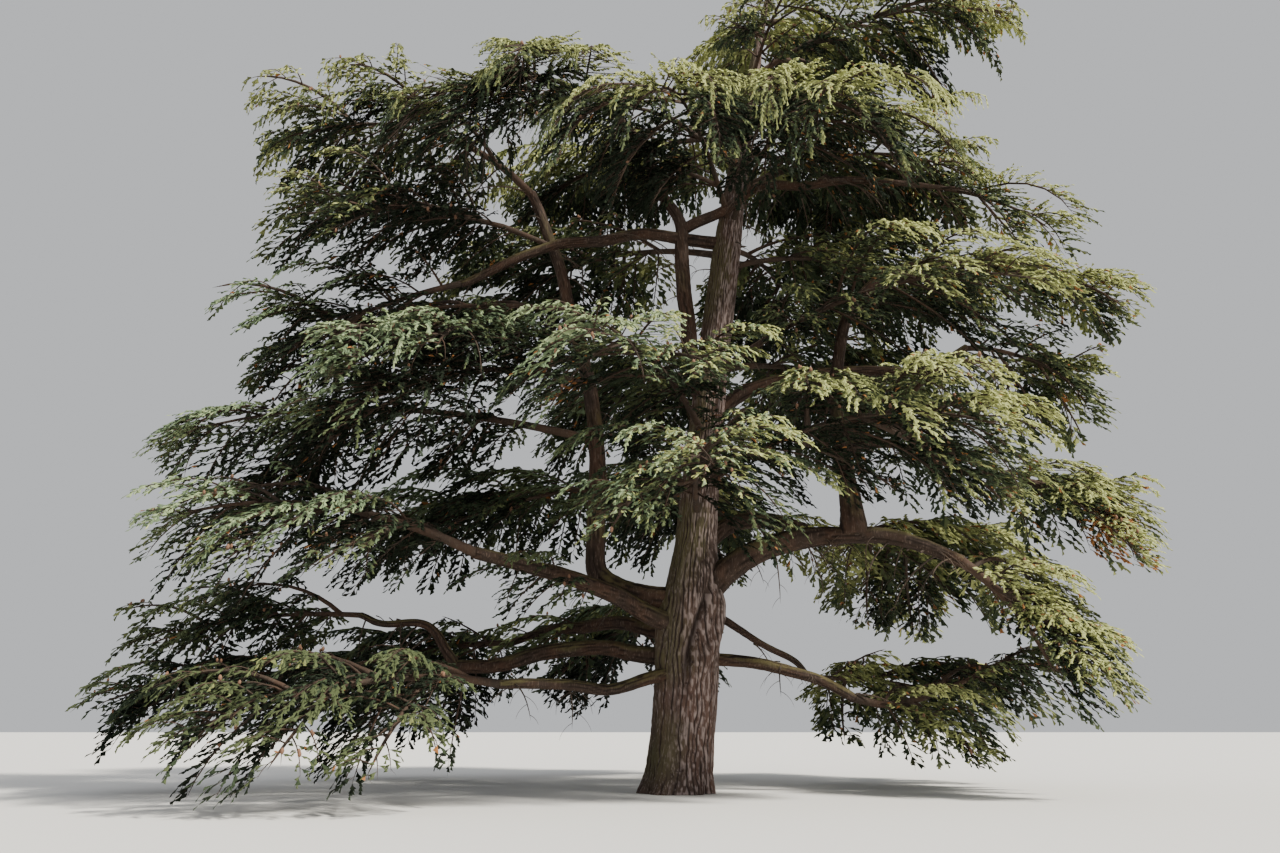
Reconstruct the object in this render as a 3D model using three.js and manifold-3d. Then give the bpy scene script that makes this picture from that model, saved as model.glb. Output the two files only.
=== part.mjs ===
// An old spreading cedar: one trunk with leaders and boughs that stand off it, and
// flat masses of foliage in layers. Millimetres, +Z up, the origin on the flat cut
// under the trunk. Seen from the front, along +Y, +X is to the right.
import * as THREE from 'three';
import { mergeVertices } from 'three/addons/utils/BufferGeometryUtils.js';
import Module from 'manifold-3d';

const wasm = await Module();
wasm.setup();

// Driving dimensions. The tables give metres and degrees.
const METRE = 1000;
const GAP = 0.3;                                  // between two solids that meet

const TRUNK_HEIGHT = 24.4;
const TRUNK_LEAN = 0.055;                         // to the right, for each metre of height
const TRUNK_BEND = 0.0029;                        // and more so towards the top
const TRUNK_SWAY = 0.25;                          // slow bend towards the back
const SWAY_HEIGHT = 5.0;
const TRUNK_RINGS = [0, 0.3, 0.7, 1.3, 2.2, 3.2, 4.3, 5.4, 6.6, 8.2, 10, 12, 14, 16, 18, 20, 22.2];
const TRUNK_RADII = [
  [0, 1.0], [0.5, 0.9], [1.3, 0.86], [3, 0.82], [5, 0.78], [6.5, 0.56],
  [10, 0.47], [15, 0.41], [20, 0.22], [TRUNK_HEIGHT, 0.06],
];
const FLARE_LOBES = 6;                            // root spurs round the foot
const FLARE_DEPTH = 0.07;                         // of the radius, at the ground
const FLARE_HEIGHT = 0.9;

const TRUNK_SIDES = 14;
const LIMB_SIDES = 6;
const TWIG_SIDES = 3;
const LIMB_STEPS = 8;
const STEM_STEPS = 8;
const STEM_RINGS = 6;
const BRANCH_STEPS = 3;
const SPACE_STEPS = 24;                           // points along a stem that hold its space

const STEM_ROOT_RADIUS = 0.012;                   // for each metre of stem
const STEM_TIP_RADIUS = 0.03;
const STEM_SINK = 0.06;                           // start of a stem inside its bough
const STEM_END = 0.74;                            // share of a stem where its last frond opens
const TWIG_TIP_RADIUS = 0.02;
const BRANCH_ROOT_RADIUS = 0.04;
const BRANCH_SPACING = 0.66;                      // along the leafy part of a stem
const BRANCH_ANGLE = 60;                          // off the stem at its foot
const BRANCH_ANGLE_LOSS = 24;                     // towards its tip
const BRANCH_TIERS = [                            // slopes of one pair of branches after another
  [4, -20, -54], [-26, -44, -68], [38, 2, -44],
];
const BRANCH_TURN = -14;                          // forward again, along its length
const ANGLE_JITTER = 16;
const LENGTH_JITTER = 0.3;
const SHORTER = [1, 0.78, 0.58];                  // lengths tried for a branch that won't fit

const BLADE_START = 0.22;                         // share of its twig where a blade begins
const BLADE_CENTRE = 0.45;
const BLADE_TEETH = [[0.3, 0.95], [0.74, 0.7]];    // share of the blade, and of its half width
const BLADE_HALF_WIDTH = 0.28;                    // of its twig's length
const BLADE_HALF_THICKNESS = 0.05;
const BLADE_SAG = 0.42;                           // droop of its edges for their distance out
const TIP_HALF_WIDTH = 0.36;                      // of the length of a stem's last frond

const SPACE_FLATNESS = 2.0;                       // heights count double: a mass is a flat plate
const SPACE_MARGIN = 0.03;                        // left between two masses' spaces
const REACH = 1.25;                               // furthest a twig goes, in half widths

const PLATE_START = 0.15;                         // a plate's outline is the part of an arch past this
const PLATE_LEAN = 0.9;                           // under 1 its widest place is nearer the foot
const PLATE_FULLNESS = 0.7;                       // under 1 its outline is rounder than the arch
const STEEP = 0.9;                                // rise of a step that counts as upright

const CHANCE_FACTORS = [374761393, 668265263, 2246822519]; // odd numbers that mix the bits
const CHANCE_MIXER = 1274126177;
const CHANCE_SHIFTS = [13, 16];

/**
 * A bough: its name, the limb it stands on, the place there (metres up the trunk, or
 * the share of a bough's length), compass heading (0 right, 90 back, 180 left, 270 front),
 * length, slopes at its root, middle and tip, turn of the heading on the way, and the
 * radii of its root and tip.
 */
function bough(name, on, place, heading, length, rises, turn, rootRadius, tipRadius) {
  return { name, on, place, heading, length, rises, turn, rootRadius, tipRadius };
}

/**
 * A mass of foliage: name, limb, place, heading, length, slopes and turn of its stem as
 * for a bough, half the width of its plate, and the share of the stem that is bare.
 */
function mass(name, on, place, heading, length, rises, turn, halfWidth, bare) {
  return { name, on, place, heading, length, rises, turn, halfWidth, bare };
}

const BOUGHS = [
  bough('right_bough', 'trunk', 4.15, -14, 8.4, [70, 9, -28], 0, 0.38, 0.16),
  bough('right_leader', 'right_bough', 0.66, 10, 9.2, [90, 84, 4], -15, 0.21, 0.13),
  bough('right_back_bough', 'trunk', 6.1, 24, 5.6, [60, 4, -10], 10, 0.27, 0.15),
  bough('right_mid_bough', 'trunk', 9.9, 4, 8.6, [58, 5, 36], 0, 0.22, 0.1),
  bough('right_side_bough', 'right_leader', 0.27, 8, 4.2, [4, -10, -22], 0, 0.12, 0.08),
  bough('low_right_bough', 'trunk', 3.4, -2, 4.6, [6, -14, -30], 0, 0.17, 0.12),
  bough('low_right_back_bough', 'trunk', 4.9, 30, 4.4, [-22, -28, -20], 0, 0.12, 0.08),
  bough('centre_leader', 'trunk', 10.3, 218, 5.8, [58, 86, 86], 0, 0.25, 0.19),
  bough('centre_left_arm', 'centre_leader', 1, 205, 4.1, [56, 60, 50], 0, 0.16, 0.11),
  bough('centre_right_arm', 'centre_leader', 1, -22, 6.4, [36, 2, -12], 10, 0.16, 0.1),
  bough('upper_left_bough', 'trunk', 15.6, 188, 8.2, [6, -12, -36], 0, 0.2, 0.11),
  bough('left_fork', 'trunk', 4.9, 184, 2.9, [2, 14, 50], 0, 0.36, 0.3),
  bough('left_leader', 'left_fork', 1, 184, 11.8, [92, 80, 66], 0, 0.27, 0.14),
  bough('front_left_bough', 'trunk', 4.1, 208, 6.6, [24, 14, 6], 8, 0.28, 0.14),
  bough('low_left_bough', 'trunk', 3.3, 178, 9.0, [22, -10, 4], 0, 0.24, 0.13),
  bough('low_left_arch', 'low_left_bough', 0.7, 172, 3.4, [62, 26, 0], 0, 0.11, 0.08),
  bough('low_front_bough', 'trunk', 3.2, 216, 5.8, [-24, -2, -4], 0, 0.18, 0.11),
  bough('back_bough', 'trunk', 4.4, 100, 6.0, [40, 6, -10], 0, 0.28, 0.14),
  bough('back_left_bough', 'trunk', 3.9, 142, 7.0, [24, 0, -12], 0, 0.24, 0.12),
];

const MASSES = [
  // The low ring, under the crown's skirt
  mass('low_left_foliage', 'low_left_bough', 1, 182, 7.0, [4, -4, -22], 0, 3.1, 0.06),
  mass('low_left_arch_foliage', 'low_left_arch', 1, 174, 6.6, [4, -6, -20], -6, 2.8, 0.06),
  mass('low_front_foliage', 'low_front_bough', 1, 218, 7.4, [8, -10, -24], 0, 3.4, 0.06),
  mass('low_right_foliage', 'low_right_bough', 1, 0, 6.2, [-24, 22, -38], -6, 3.1, 0.05),
  mass('low_right_back_foliage', 'low_right_back_bough', 1, 34, 6.8, [0, -4, -20], 0, 3.4, 0.05),
  mass('right_skirt_foliage', 'right_bough', 1, -12, 3.6, [-36, -56, -70], 0, 3.1, 0.05),
  mass('back_low_foliage', 'back_bough', 1, 96, 7.2, [0, -8, -26], 0, 4.2, 0.05),
  mass('back_left_low_foliage', 'back_left_bough', 1, 148, 7.2, [2, -6, -24], 0, 4.2, 0.05),
  // The second layer
  mass('front_left_foliage', 'front_left_bough', 1, 202, 7.4, [22, 4, -26], 0, 3.6, 0.05),
  mass('front_low_foliage', 'trunk', 7.3, 264, 8.8, [10, -2, -28], 10, 3.6, 0.16),
  mass('right_back_foliage', 'right_back_bough', 1, 38, 6.4, [8, -4, -24], 0, 4.2, 0.05),
  mass('right_side_foliage', 'right_side_bough', 1, -4, 3.7, [-8, -18, -40], 0, 3.1, 0.05),
  mass('front_right_foliage', 'trunk', 8.1, -54, 9.8, [18, 0, -28], 10, 4.0, 0.17),
  mass('left_foliage', 'left_leader', 0.32, 194, 11.4, [10, -2, -24], 0, 3.8, 0.14),
  mass('back_left_foliage', 'trunk', 7.6, 152, 11.0, [18, 2, -22], 0, 4.2, 0.24),
  mass('back_foliage', 'trunk', 8.0, 92, 10.2, [20, 4, -20], 0, 4.2, 0.22),
  // The third layer
  mass('front_mid_foliage', 'trunk', 9.6, 250, 9.4, [20, 0, -24], 0, 4.1, 0.14),
  mass('left_front_foliage', 'left_leader', 0.46, 222, 8.6, [4, -20, -42], 0, 4.2, 0.1),
  mass('right_mid_foliage', 'right_mid_bough', 1, 4, 4.1, [4, -22, -42], 0, 3.4, 0.05),
  mass('right_front_foliage', 'trunk', 11.4, -40, 9.8, [24, 4, -26], 0, 4.0, 0.17),
  mass('right_back_mid_foliage', 'trunk', 11.6, 46, 10.6, [22, 4, -22], 0, 4.2, 0.23),
  mass('back_mid_foliage', 'trunk', 11.8, 112, 10.0, [22, 4, -22], 0, 4.2, 0.22),
  mass('left_mid_foliage', 'left_leader', 0.66, 176, 7.8, [8, -4, -28], 0, 3.4, 0.14),
  // The fourth layer
  mass('upper_left_foliage', 'upper_left_bough', 1, 184, 5.6, [-14, -26, -40], 0, 3.8, 0.05),
  mass('left_high_foliage', 'left_leader', 0.84, 202, 7.5, [16, -2, -30], 0, 4.0, 0.12),
  mass('right_crest_foliage', 'right_leader', 1, -6, 5.3, [-2, -14, -46], 0, 3.4, 0.05),
  mass('centre_right_foliage', 'centre_right_arm', 1, -14, 4.6, [-12, -24, -48], 0, 3.6, 0.05),
  mass('right_far_foliage', 'trunk', 14.8, 20, 8.8, [24, 0, -24], 0, 3.6, 0.2),
  mass('back_right_high_foliage', 'trunk', 15.4, 66, 9.6, [24, 4, -20], 0, 4.2, 0.2),
  mass('back_left_high_foliage', 'trunk', 15.2, 144, 10.4, [24, 4, -20], 0, 4.2, 0.22),
  // The fifth layer
  mass('top_front_left_foliage', 'centre_left_arm', 1, 226, 6.2, [8, -22, -62], 0, 4.2, 0.05),
  mass('top_left_foliage', 'left_leader', 1, 192, 8.2, [48, 6, -38], 0, 3.8, 0.12),
  mass('top_mid_foliage', 'trunk', 16.2, 252, 8.2, [24, 2, -50], 0, 3.8, 0.14),
  mass('top_front_foliage', 'trunk', 16.1, 286, 8.2, [26, 2, -52], 0, 3.8, 0.14),
  mass('top_right_foliage', 'trunk', 17.1, -14, 7.2, [30, 0, -40], 0, 3.8, 0.17),
  mass('top_back_right_foliage', 'trunk', 18.5, 48, 9.0, [28, 4, -22], 0, 4.2, 0.19),
  mass('top_back_left_foliage', 'trunk', 19.0, 140, 9.4, [28, 4, -22], 0, 4.2, 0.19),
  // The crest
  mass('crest_right_foliage', 'trunk', 21.2, -16, 8.2, [34, 6, -28], 0, 3.6, 0.04),
  mass('crest_back_foliage', 'trunk', 23.2, 84, 7.2, [40, 6, -24], 0, 3.8, 0.04),
  mass('crest_foliage', 'trunk', 21.3, -76, 5.4, [34, 4, -34], 0, 3.3, 0.05),
];

const TRUNK_COLOUR = 0x6b5d50;
const BOUGH_COLOUR = 0x74604f;
const FOLIAGE_COLOURS = [0x5c7350, 0x6c8259, 0x7d9263, 0x8c9f6c];

/** A repeatable number from 0 to 1, for a mass, a branch of it and a use of the number. */
function chance(massIndex, branchIndex, use) {
  const marks = [massIndex, branchIndex, use];
  let bits = marks.reduce((sum, mark, place) => sum ^ Math.imul(mark + 1, CHANCE_FACTORS[place]), 0);
  bits = Math.imul(bits ^ (bits >>> CHANCE_SHIFTS[0]), CHANCE_MIXER);
  return ((bits ^ (bits >>> CHANCE_SHIFTS[1])) >>> 0) / 2 ** 32;
}

/** The value at x on a line through [x, value] pairs. */
function onLine(pairs, x) {
  const last = pairs.findIndex(([end]) => end >= x);
  if (last <= 0) return last === 0 ? pairs[0][1] : pairs[pairs.length - 1][1];
  const [x0, y0] = pairs[last - 1];
  const [x1, y1] = pairs[last];
  return THREE.MathUtils.mapLinear(x, x0, x1, y0, y1);
}

/** The trunk's middle at a height in metres. */
function trunkPoint(height) {
  const right = TRUNK_LEAN * height + TRUNK_BEND * height ** 2;
  const back = TRUNK_SWAY * Math.sin(height / SWAY_HEIGHT);
  return new THREE.Vector3(right, back, height).multiplyScalar(METRE);
}

/** A step of unit length along a compass heading and a slope. */
function headingStep(heading, slope) {
  const turn = THREE.MathUtils.degToRad(heading);
  const rise = THREE.MathUtils.degToRad(slope);
  return new THREE.Vector3(
    Math.cos(turn) * Math.cos(rise), Math.sin(turn) * Math.cos(rise), Math.sin(rise),
  );
}

/** A limb's path: steps whose slope runs through its three rises and whose heading turns. */
function grow(root, heading, length, rises, turn, steps) {
  const path = [root.clone()];
  for (let step = 0; step < steps; step += 1) {
    const s = (step + 0.5) / steps;
    const slope = rises[0] * (2 * s - 1) * (s - 1)
      + rises[1] * 4 * s * (1 - s) + rises[2] * s * (2 * s - 1);
    const stride = headingStep(heading + turn * s, slope).multiplyScalar(length * METRE / steps);
    path.push(path[step].clone().add(stride));
  }
  return path;
}

/** The place at a share of a path's length, and the way the path runs there. */
function along(path, share) {
  const x = THREE.MathUtils.clamp(share, 0, 1) * (path.length - 1);
  const step = Math.min(Math.floor(x), path.length - 2);
  return {
    point: path[step].clone().lerp(path[step + 1], x - step),
    way: path[step + 1].clone().sub(path[step]).normalize(),
  };
}

/** A path of its own that follows part of another, from one share to the next. */
function stretch(path, from, to, steps) {
  const points = [];
  for (let step = 0; step <= steps; step += 1) {
    points.push(along(path, from + (to - from) * step / steps).point);
  }
  return points;
}

/** The compass heading of a direction. */
function headingOf(way) {
  return THREE.MathUtils.radToDeg(Math.atan2(way.y, way.x));
}

/** A closed geometry as a solid, its shared corners merged. */
function solidOf(geometry) {
  geometry.deleteAttribute('normal');
  geometry.deleteAttribute('uv');
  const merged = mergeVertices(geometry);
  return new wasm.Manifold(new wasm.Mesh({
    numProp: 3,
    vertProperties: new Float32Array(merged.attributes.position.array),
    triVerts: new Uint32Array(merged.index.array),
  }));
}

/** A cylinder bent along a path, its radius given by step and angle, its rings level or square. */
function tube(path, radiusAt, sides, level = false) {
  const rings = path.length - 1;
  const geometry = new THREE.CylinderGeometry(1, 1, 1, sides, rings);
  const ways = path.map((point, step) => (level ? new THREE.Vector3(0, 0, 1)
    : path[Math.min(step + 1, rings)].clone().sub(path[Math.max(step - 1, 0)]).normalize()));
  const across = [];
  ways.forEach((way, step) => {
    const start = Math.abs(way.z) > STEEP ? new THREE.Vector3(1, 0, 0) : new THREE.Vector3(0, 0, 1);
    const side = step ? across[step - 1].clone() : start;
    across.push(side.addScaledVector(way, -side.dot(way)).normalize());
  });
  const corner = new THREE.Vector3();
  const position = geometry.attributes.position;
  for (let index = 0; index < position.count; index += 1) {
    corner.fromBufferAttribute(position, index);
    const step = Math.round((corner.y + 0.5) * rings);
    const angle = Math.atan2(corner.z, corner.x);
    const radius = Math.hypot(corner.x, corner.z) * radiusAt(step, angle);
    const other = across[step].clone().cross(ways[step]);
    corner.copy(path[step]).addScaledVector(across[step], radius * Math.cos(angle))
      .addScaledVector(other, radius * Math.sin(angle));
    position.setXYZ(index, corner.x, corner.y, corner.z);
  }
  return solidOf(geometry);
}

/** A path made longer by a length at both ends. */
function lengthened(path, length) {
  const longer = path.map((point) => point.clone());
  const last = path.length - 1;
  longer[0].addScaledVector(path[0].clone().sub(path[1]).normalize(), length);
  longer[last].addScaledVector(path[last].clone().sub(path[last - 1]).normalize(), length);
  return longer;
}

/** A limb tapering evenly between two radii in metres, wider and longer all round by a gap. */
function taperedTube(path, rootRadius, tipRadius, sides, gap = 0) {
  const rings = path.length - 1;
  const radiusAt = (step) => METRE * THREE.MathUtils.lerp(rootRadius, tipRadius, step / rings) + gap;
  return tube(gap ? lengthened(path, gap) : path, radiusAt, sides);
}

/** The trunk, with root spurs that fade out above its flat foot, wider by a gap. */
function trunkSolid(gap = 0) {
  const heights = [...TRUNK_RINGS, TRUNK_HEIGHT];
  const radiusAt = (step, angle) => {
    const fade = Math.exp(-heights[step] / FLARE_HEIGHT);
    const spurs = 1 + FLARE_DEPTH * fade * Math.cos(FLARE_LOBES * angle);
    return METRE * onLine(TRUNK_RADII, heights[step]) * spurs + gap;
  };
  const path = heights.map(trunkPoint);
  return tube(gap ? lengthened(path, gap) : path, radiusAt, TRUNK_SIDES, true);
}

/**
 * A frond: a three-sided twig along a path, tapering through rings at the given shares,
 * that opens after the last ring into one toothed blade of needle sprays. The blade is
 * thickest at its middle and its edges hang a little.
 */
function frond(path, shares, rootRadius, tipRadius, halfWidth) {
  const place = (share, width, lift) => {
    const { point, way } = along(path, share);
    const side = new THREE.Vector3(-way.y, way.x, 0).normalize();
    point.addScaledVector(side, width * METRE);
    point.z += METRE * (lift - BLADE_SAG * Math.abs(width));
    return point.toArray();
  };
  const neck = shares[shares.length - 1];
  const ring = (share) => {
    const radius = THREE.MathUtils.lerp(rootRadius, tipRadius, share / neck);
    return [place(share, radius, -radius / 2), place(share, 0, radius), place(share, -radius, -radius / 2)];
  };
  const onBlade = (share) => neck + (1 - neck) * share;
  const teeth = (side) => BLADE_TEETH.map(([share, width]) => (
    place(onBlade(share), side * width * halfWidth, 0)));
  const middle = onBlade(BLADE_CENTRE);
  const corners = [
    ...shares.flatMap(ring), ...teeth(1), place(1, 0, 0), ...teeth(-1).reverse(),
    place(middle, 0, BLADE_HALF_THICKNESS), place(middle, 0, -BLADE_HALF_THICKNESS),
  ];
  const firstTooth = TWIG_SIDES * shares.length;
  const [left, ridge, right] = [firstTooth - 3, firstTooth - 2, firstTooth - 1];
  const [top, underside] = [corners.length - 2, corners.length - 1];
  const rim = [left, ...[...corners.keys()].slice(firstTooth, top), right];
  const faces = [0, 2, 1];
  for (let corner = 0; corner < left; corner += 1) {
    const next = corner % TWIG_SIDES === 2 ? corner - 2 : corner + 1;
    faces.push(corner, next + TWIG_SIDES, corner + TWIG_SIDES, corner, next, next + TWIG_SIDES);
  }
  rim.slice(1).forEach((corner, index) => {
    faces.push(top, corner, rim[index], underside, rim[index], corner);
  });
  faces.push(top, ridge, right, top, left, ridge, underside, right, left);
  const geometry = new THREE.BufferGeometry();
  geometry.setAttribute('position', new THREE.Float32BufferAttribute(corners.flat(), 3));
  geometry.setIndex(faces);
  return solidOf(geometry);
}

/** The largest body of a solid: loose scraps go, and a hollow sealed inside it is filled. */
function mainBody(solid) {
  return solid.decompose().reduce((best, piece) => (piece.volume() > best.volume() ? piece : best));
}

/** Whether the boxes of two solids come within the gap of each other. */
function boxesMeet(first, second) {
  const a = first.boundingBox();
  const b = second.boundingBox();
  return [0, 1, 2].every((axis) => a.min[axis] < b.max[axis] + GAP && b.min[axis] < a.max[axis] + GAP);
}

/** Whether a solid keeps the gap to every solid in a list. */
function clearOf(solid, others) {
  return others.every((other) => !boxesMeet(solid, other) || solid.minGap(other, 2 * GAP) >= GAP);
}

/** A solid with every solid of a list that reaches it cut away. */
function cutBy(solid, cutters) {
  return cutters.filter((cutter) => boxesMeet(solid, cutter))
    .reduce((rest, cutter) => mainBody(rest.subtract(cutter)), solid);
}

/** The root of a limb or stem on the limb it stands on, sunk a little where that ends. */
function rootOn(row, paths) {
  if (row.on === 'trunk') return trunkPoint(row.place);
  const { point, way } = along(paths.get(row.on), row.place);
  return row.place < 1 ? point : point.addScaledVector(way, -STEM_SINK * METRE);
}

/** Trunk and boughs: each bough cut clear of those before it. */
function makeLimbs() {
  const paths = new Map();
  const solids = new Map([['trunk', trunkSolid()]]);
  const cutters = [trunkSolid(GAP)];
  BOUGHS.forEach((row) => {
    const path = grow(rootOn(row, paths), row.heading, row.length, row.rises, row.turn, LIMB_STEPS);
    paths.set(row.name, path);
    const whole = taperedTube(path, row.rootRadius, row.tipRadius, LIMB_SIDES);
    solids.set(row.name, cutBy(whole, cutters));
    cutters.push(taperedTube(path, row.rootRadius, row.tipRadius, LIMB_SIDES, GAP));
  });
  return { paths, solids, cutters };
}

/** How wide a plate of foliage is at a share of its stem's leafy part, from 0 to 1. */
function plateWidth(share) {
  return Math.sin(Math.PI * (PLATE_START + (1 - PLATE_START) * share ** PLATE_LEAN)) ** PLATE_FULLNESS;
}

/** Whether each corner of a solid lies in the space of one mass, clear of all the others'. */
function inSpace(solid, own, spaces) {
  const corners = solid.getMesh().vertProperties;
  for (let start = 0; start < corners.length; start += 3) {
    const nearest = spaces.map((points) => Math.min(...points.map((point) => Math.hypot(
      corners[start] - point.x, corners[start + 1] - point.y,
      SPACE_FLATNESS * (corners[start + 2] - point.z),
    ))));
    const mine = nearest[own] + SPACE_MARGIN * METRE;
    if (mine > REACH * METRE * MASSES[own].halfWidth) return false;
    if (nearest.some((other, index) => index !== own && other < mine)) return false;
  }
  return true;
}

/** One side branch: a frond that leaves its stem at a share of the leafy part. */
function branchSolid(stem, row, massIndex, branchIndex, count, shorter) {
  const share = (branchIndex + 0.5) / count;
  const side = branchIndex % 2 ? 1 : -1;
  const { point, way } = along(stem, row.bare + (STEM_END - row.bare) * share);
  const jitter = (use) => chance(massIndex, branchIndex, use) - 0.5;
  const angle = BRANCH_ANGLE - BRANCH_ANGLE_LOSS * share + ANGLE_JITTER * jitter(0);
  const heading = headingOf(way) + side * angle;
  const length = shorter * row.halfWidth * plateWidth(share) * (1 + LENGTH_JITTER * jitter(1));
  const tier = BRANCH_TIERS[Math.floor(branchIndex / 2) % BRANCH_TIERS.length];
  const rises = tier.map((rise) => rise + ANGLE_JITTER * jitter(2));
  const path = grow(point, heading, length, rises, side * BRANCH_TURN, BRANCH_STEPS);
  return frond(path, [0, BLADE_START], BRANCH_ROOT_RADIUS, TWIG_TIP_RADIUS, length * BLADE_HALF_WIDTH);
}

/** The stem of a mass, with the frond it ends in, wider all round by a gap. */
function stemSolid(row, path, gap = 0) {
  const shares = Array.from({ length: STEM_RINGS }, (_, ring) => STEM_END * ring / (STEM_RINGS - 1));
  const rootRadius = STEM_ROOT_RADIUS * row.length + gap / METRE;
  const tipWidth = (1 - STEM_END) * row.length * TIP_HALF_WIDTH;
  return frond(path, shares, rootRadius, STEM_TIP_RADIUS + gap / METRE, tipWidth);
}

/** The stems of all masses, cut clear of the limbs and of one another. */
function makeStems(limbs) {
  const cutters = [...limbs.cutters];
  return MASSES.map((row) => {
    const root = rootOn(row, limbs.paths);
    const path = grow(root, row.heading, row.length, row.rises, row.turn, STEM_STEPS);
    const solid = cutBy(stemSolid(row, path), cutters);
    cutters.push(stemSolid(row, path, 2 * GAP));
    return { path, solid };
  });
}

/** One mass: its stem, a blade at its tip and the side branches that find room. */
function makeMass(row, index, stems, spaces, limbSolids, finished) {
  const otherStems = stems.filter((_, other) => other > index).map((stem) => stem.solid);
  const obstacles = [...limbSolids, ...otherStems, ...finished];
  const fits = (solid) => inSpace(solid, index, spaces) && clearOf(solid, obstacles);
  const { path, solid } = stems[index];
  const pieces = [solid];
  const count = Math.round((STEM_END - row.bare) * row.length / BRANCH_SPACING);
  for (let branch = 0; branch < count; branch += 1) {
    for (const shorter of SHORTER) {
      const twig = branchSolid(path, row, index, branch, count, shorter);
      if (fits(twig)) {
        pieces.push(twig);
        break;
      }
    }
  }
  return mainBody(wasm.Manifold.union(pieces));
}

/** A solid as a named mesh. */
function named(name, solid, colour) {
  const { vertProperties, triVerts } = solid.getMesh();
  const geometry = new THREE.BufferGeometry();
  geometry.setAttribute('position', new THREE.BufferAttribute(vertProperties, 3));
  geometry.setIndex(new THREE.BufferAttribute(triVerts, 1));
  geometry.computeVertexNormals();
  const material = new THREE.MeshStandardMaterial({ color: colour, roughness: 0.9, metalness: 0 });
  const mesh = new THREE.Mesh(geometry, material);
  mesh.name = name;
  return mesh;
}

/** The whole tree. */
function makeTree() {
  const tree = new THREE.Group();
  const limbs = makeLimbs();
  limbs.solids.forEach((solid, name) => {
    tree.add(named(name, solid, name === 'trunk' ? TRUNK_COLOUR : BOUGH_COLOUR));
  });
  const limbSolids = [...limbs.solids.values()];
  const stems = makeStems(limbs);
  const spaces = stems.map(({ path }, index) => (
    stretch(path, MASSES[index].bare, 1, SPACE_STEPS)));
  const finished = [];
  MASSES.forEach((row, index) => {
    const solid = makeMass(row, index, stems, spaces, limbSolids, finished);
    finished.push(solid);
    tree.add(named(row.name, solid, FOLIAGE_COLOURS[index % FOLIAGE_COLOURS.length]));
  });
  return tree;
}

export default makeTree();
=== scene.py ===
"""The looks of an old spreading cedar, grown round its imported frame.

The trunk and boughs get a skin of bark with real relief. Each mass of foliage grows
again from its stem by the frame's own rule, carried down to fine twigs and to the
drooping sprays of needles that they bear. Lengths are metres, angles degrees.
"""
from __future__ import annotations

import logging
import math
from dataclasses import dataclass, field, fields
from enum import Enum, IntEnum

import bpy
import numpy as np
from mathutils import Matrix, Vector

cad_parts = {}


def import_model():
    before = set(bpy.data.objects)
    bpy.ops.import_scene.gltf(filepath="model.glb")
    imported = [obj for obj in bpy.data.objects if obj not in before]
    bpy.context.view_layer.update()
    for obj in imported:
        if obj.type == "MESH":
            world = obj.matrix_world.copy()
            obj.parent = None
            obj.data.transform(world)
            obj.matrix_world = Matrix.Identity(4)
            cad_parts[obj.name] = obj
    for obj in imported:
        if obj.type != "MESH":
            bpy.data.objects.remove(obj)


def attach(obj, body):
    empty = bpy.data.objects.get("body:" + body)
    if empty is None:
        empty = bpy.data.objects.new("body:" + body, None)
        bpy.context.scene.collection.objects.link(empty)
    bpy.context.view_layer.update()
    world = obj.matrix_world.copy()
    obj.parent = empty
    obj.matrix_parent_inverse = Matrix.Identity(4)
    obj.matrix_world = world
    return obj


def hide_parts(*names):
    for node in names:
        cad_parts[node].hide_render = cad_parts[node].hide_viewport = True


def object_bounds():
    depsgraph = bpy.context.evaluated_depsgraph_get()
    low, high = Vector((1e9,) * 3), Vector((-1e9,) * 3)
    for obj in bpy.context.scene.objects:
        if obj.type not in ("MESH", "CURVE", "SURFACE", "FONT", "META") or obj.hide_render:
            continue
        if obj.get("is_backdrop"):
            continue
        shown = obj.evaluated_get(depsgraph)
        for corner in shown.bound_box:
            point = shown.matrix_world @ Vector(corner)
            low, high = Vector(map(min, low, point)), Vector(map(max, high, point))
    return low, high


LOG = logging.getLogger("cedar")

Array = np.ndarray
Colour = tuple[float, float, float]


class Layer(Enum):
    """The layers of the crown, from its skirt to its top."""

    LOW = "low"
    SECOND = "second"
    THIRD = "third"
    FOURTH = "fourth"
    FIFTH = "fifth"
    CREST = "crest"


class Tone(IntEnum):
    """The colours of the needle sprays, most of them painted sunlight and shade; the value is the material's
    place on a piece.
    """

    LIME = 0
    OLIVE = 1
    GREY_GREEN = 2
    BLUE_GREEN = 3
    DEEP = 4
    RUST = 5
    SILVER = 6
    SAGE = 7


class Draw(IntEnum):
    """What a chance number is for: its last mark. Some uses take the marks after theirs too."""

    BRANCH_ANGLE = 0
    BRANCH_LENGTH = 1
    BRANCH_RISE = 2
    TWIG = 10
    SPRAY = 20
    LESSER_STEM = 30
    CONE = 40
    CONE_PLACE = 41
    CONE_SIZE = 42
    CONE_LEAN = 43
    DEAD_PLACE = 60
    DEAD_HEADING = 61
    DEAD_STUB = 62
    DEAD_LENGTH = 63
    DEAD_RISE = 64
    DEAD_TURN = 65
    DEAD_SIDE_HEADING = 66
    DEAD_SIDE_LENGTH = 67


class Noise(IntEnum):
    """What a noise is for: how far its seed lies from its limb's own."""

    FINE_FURROWS = 1
    BREAKS = 2
    FLAKES = 3
    SWELLINGS = 4
    MOSS = 5
    FLUTES = 6
    BREAK_PATCHES = 8
    WOBBLE = 50
    OPENING = 51


@dataclass(frozen=True)
class Bough:
    """One bough: where it stands, where it heads, how it bends and how it tapers."""

    name: str
    on: str
    place: float
    heading: float
    length: float
    rises: tuple[float, float, float]
    turn: float
    root_radius: float
    tip_radius: float


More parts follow.
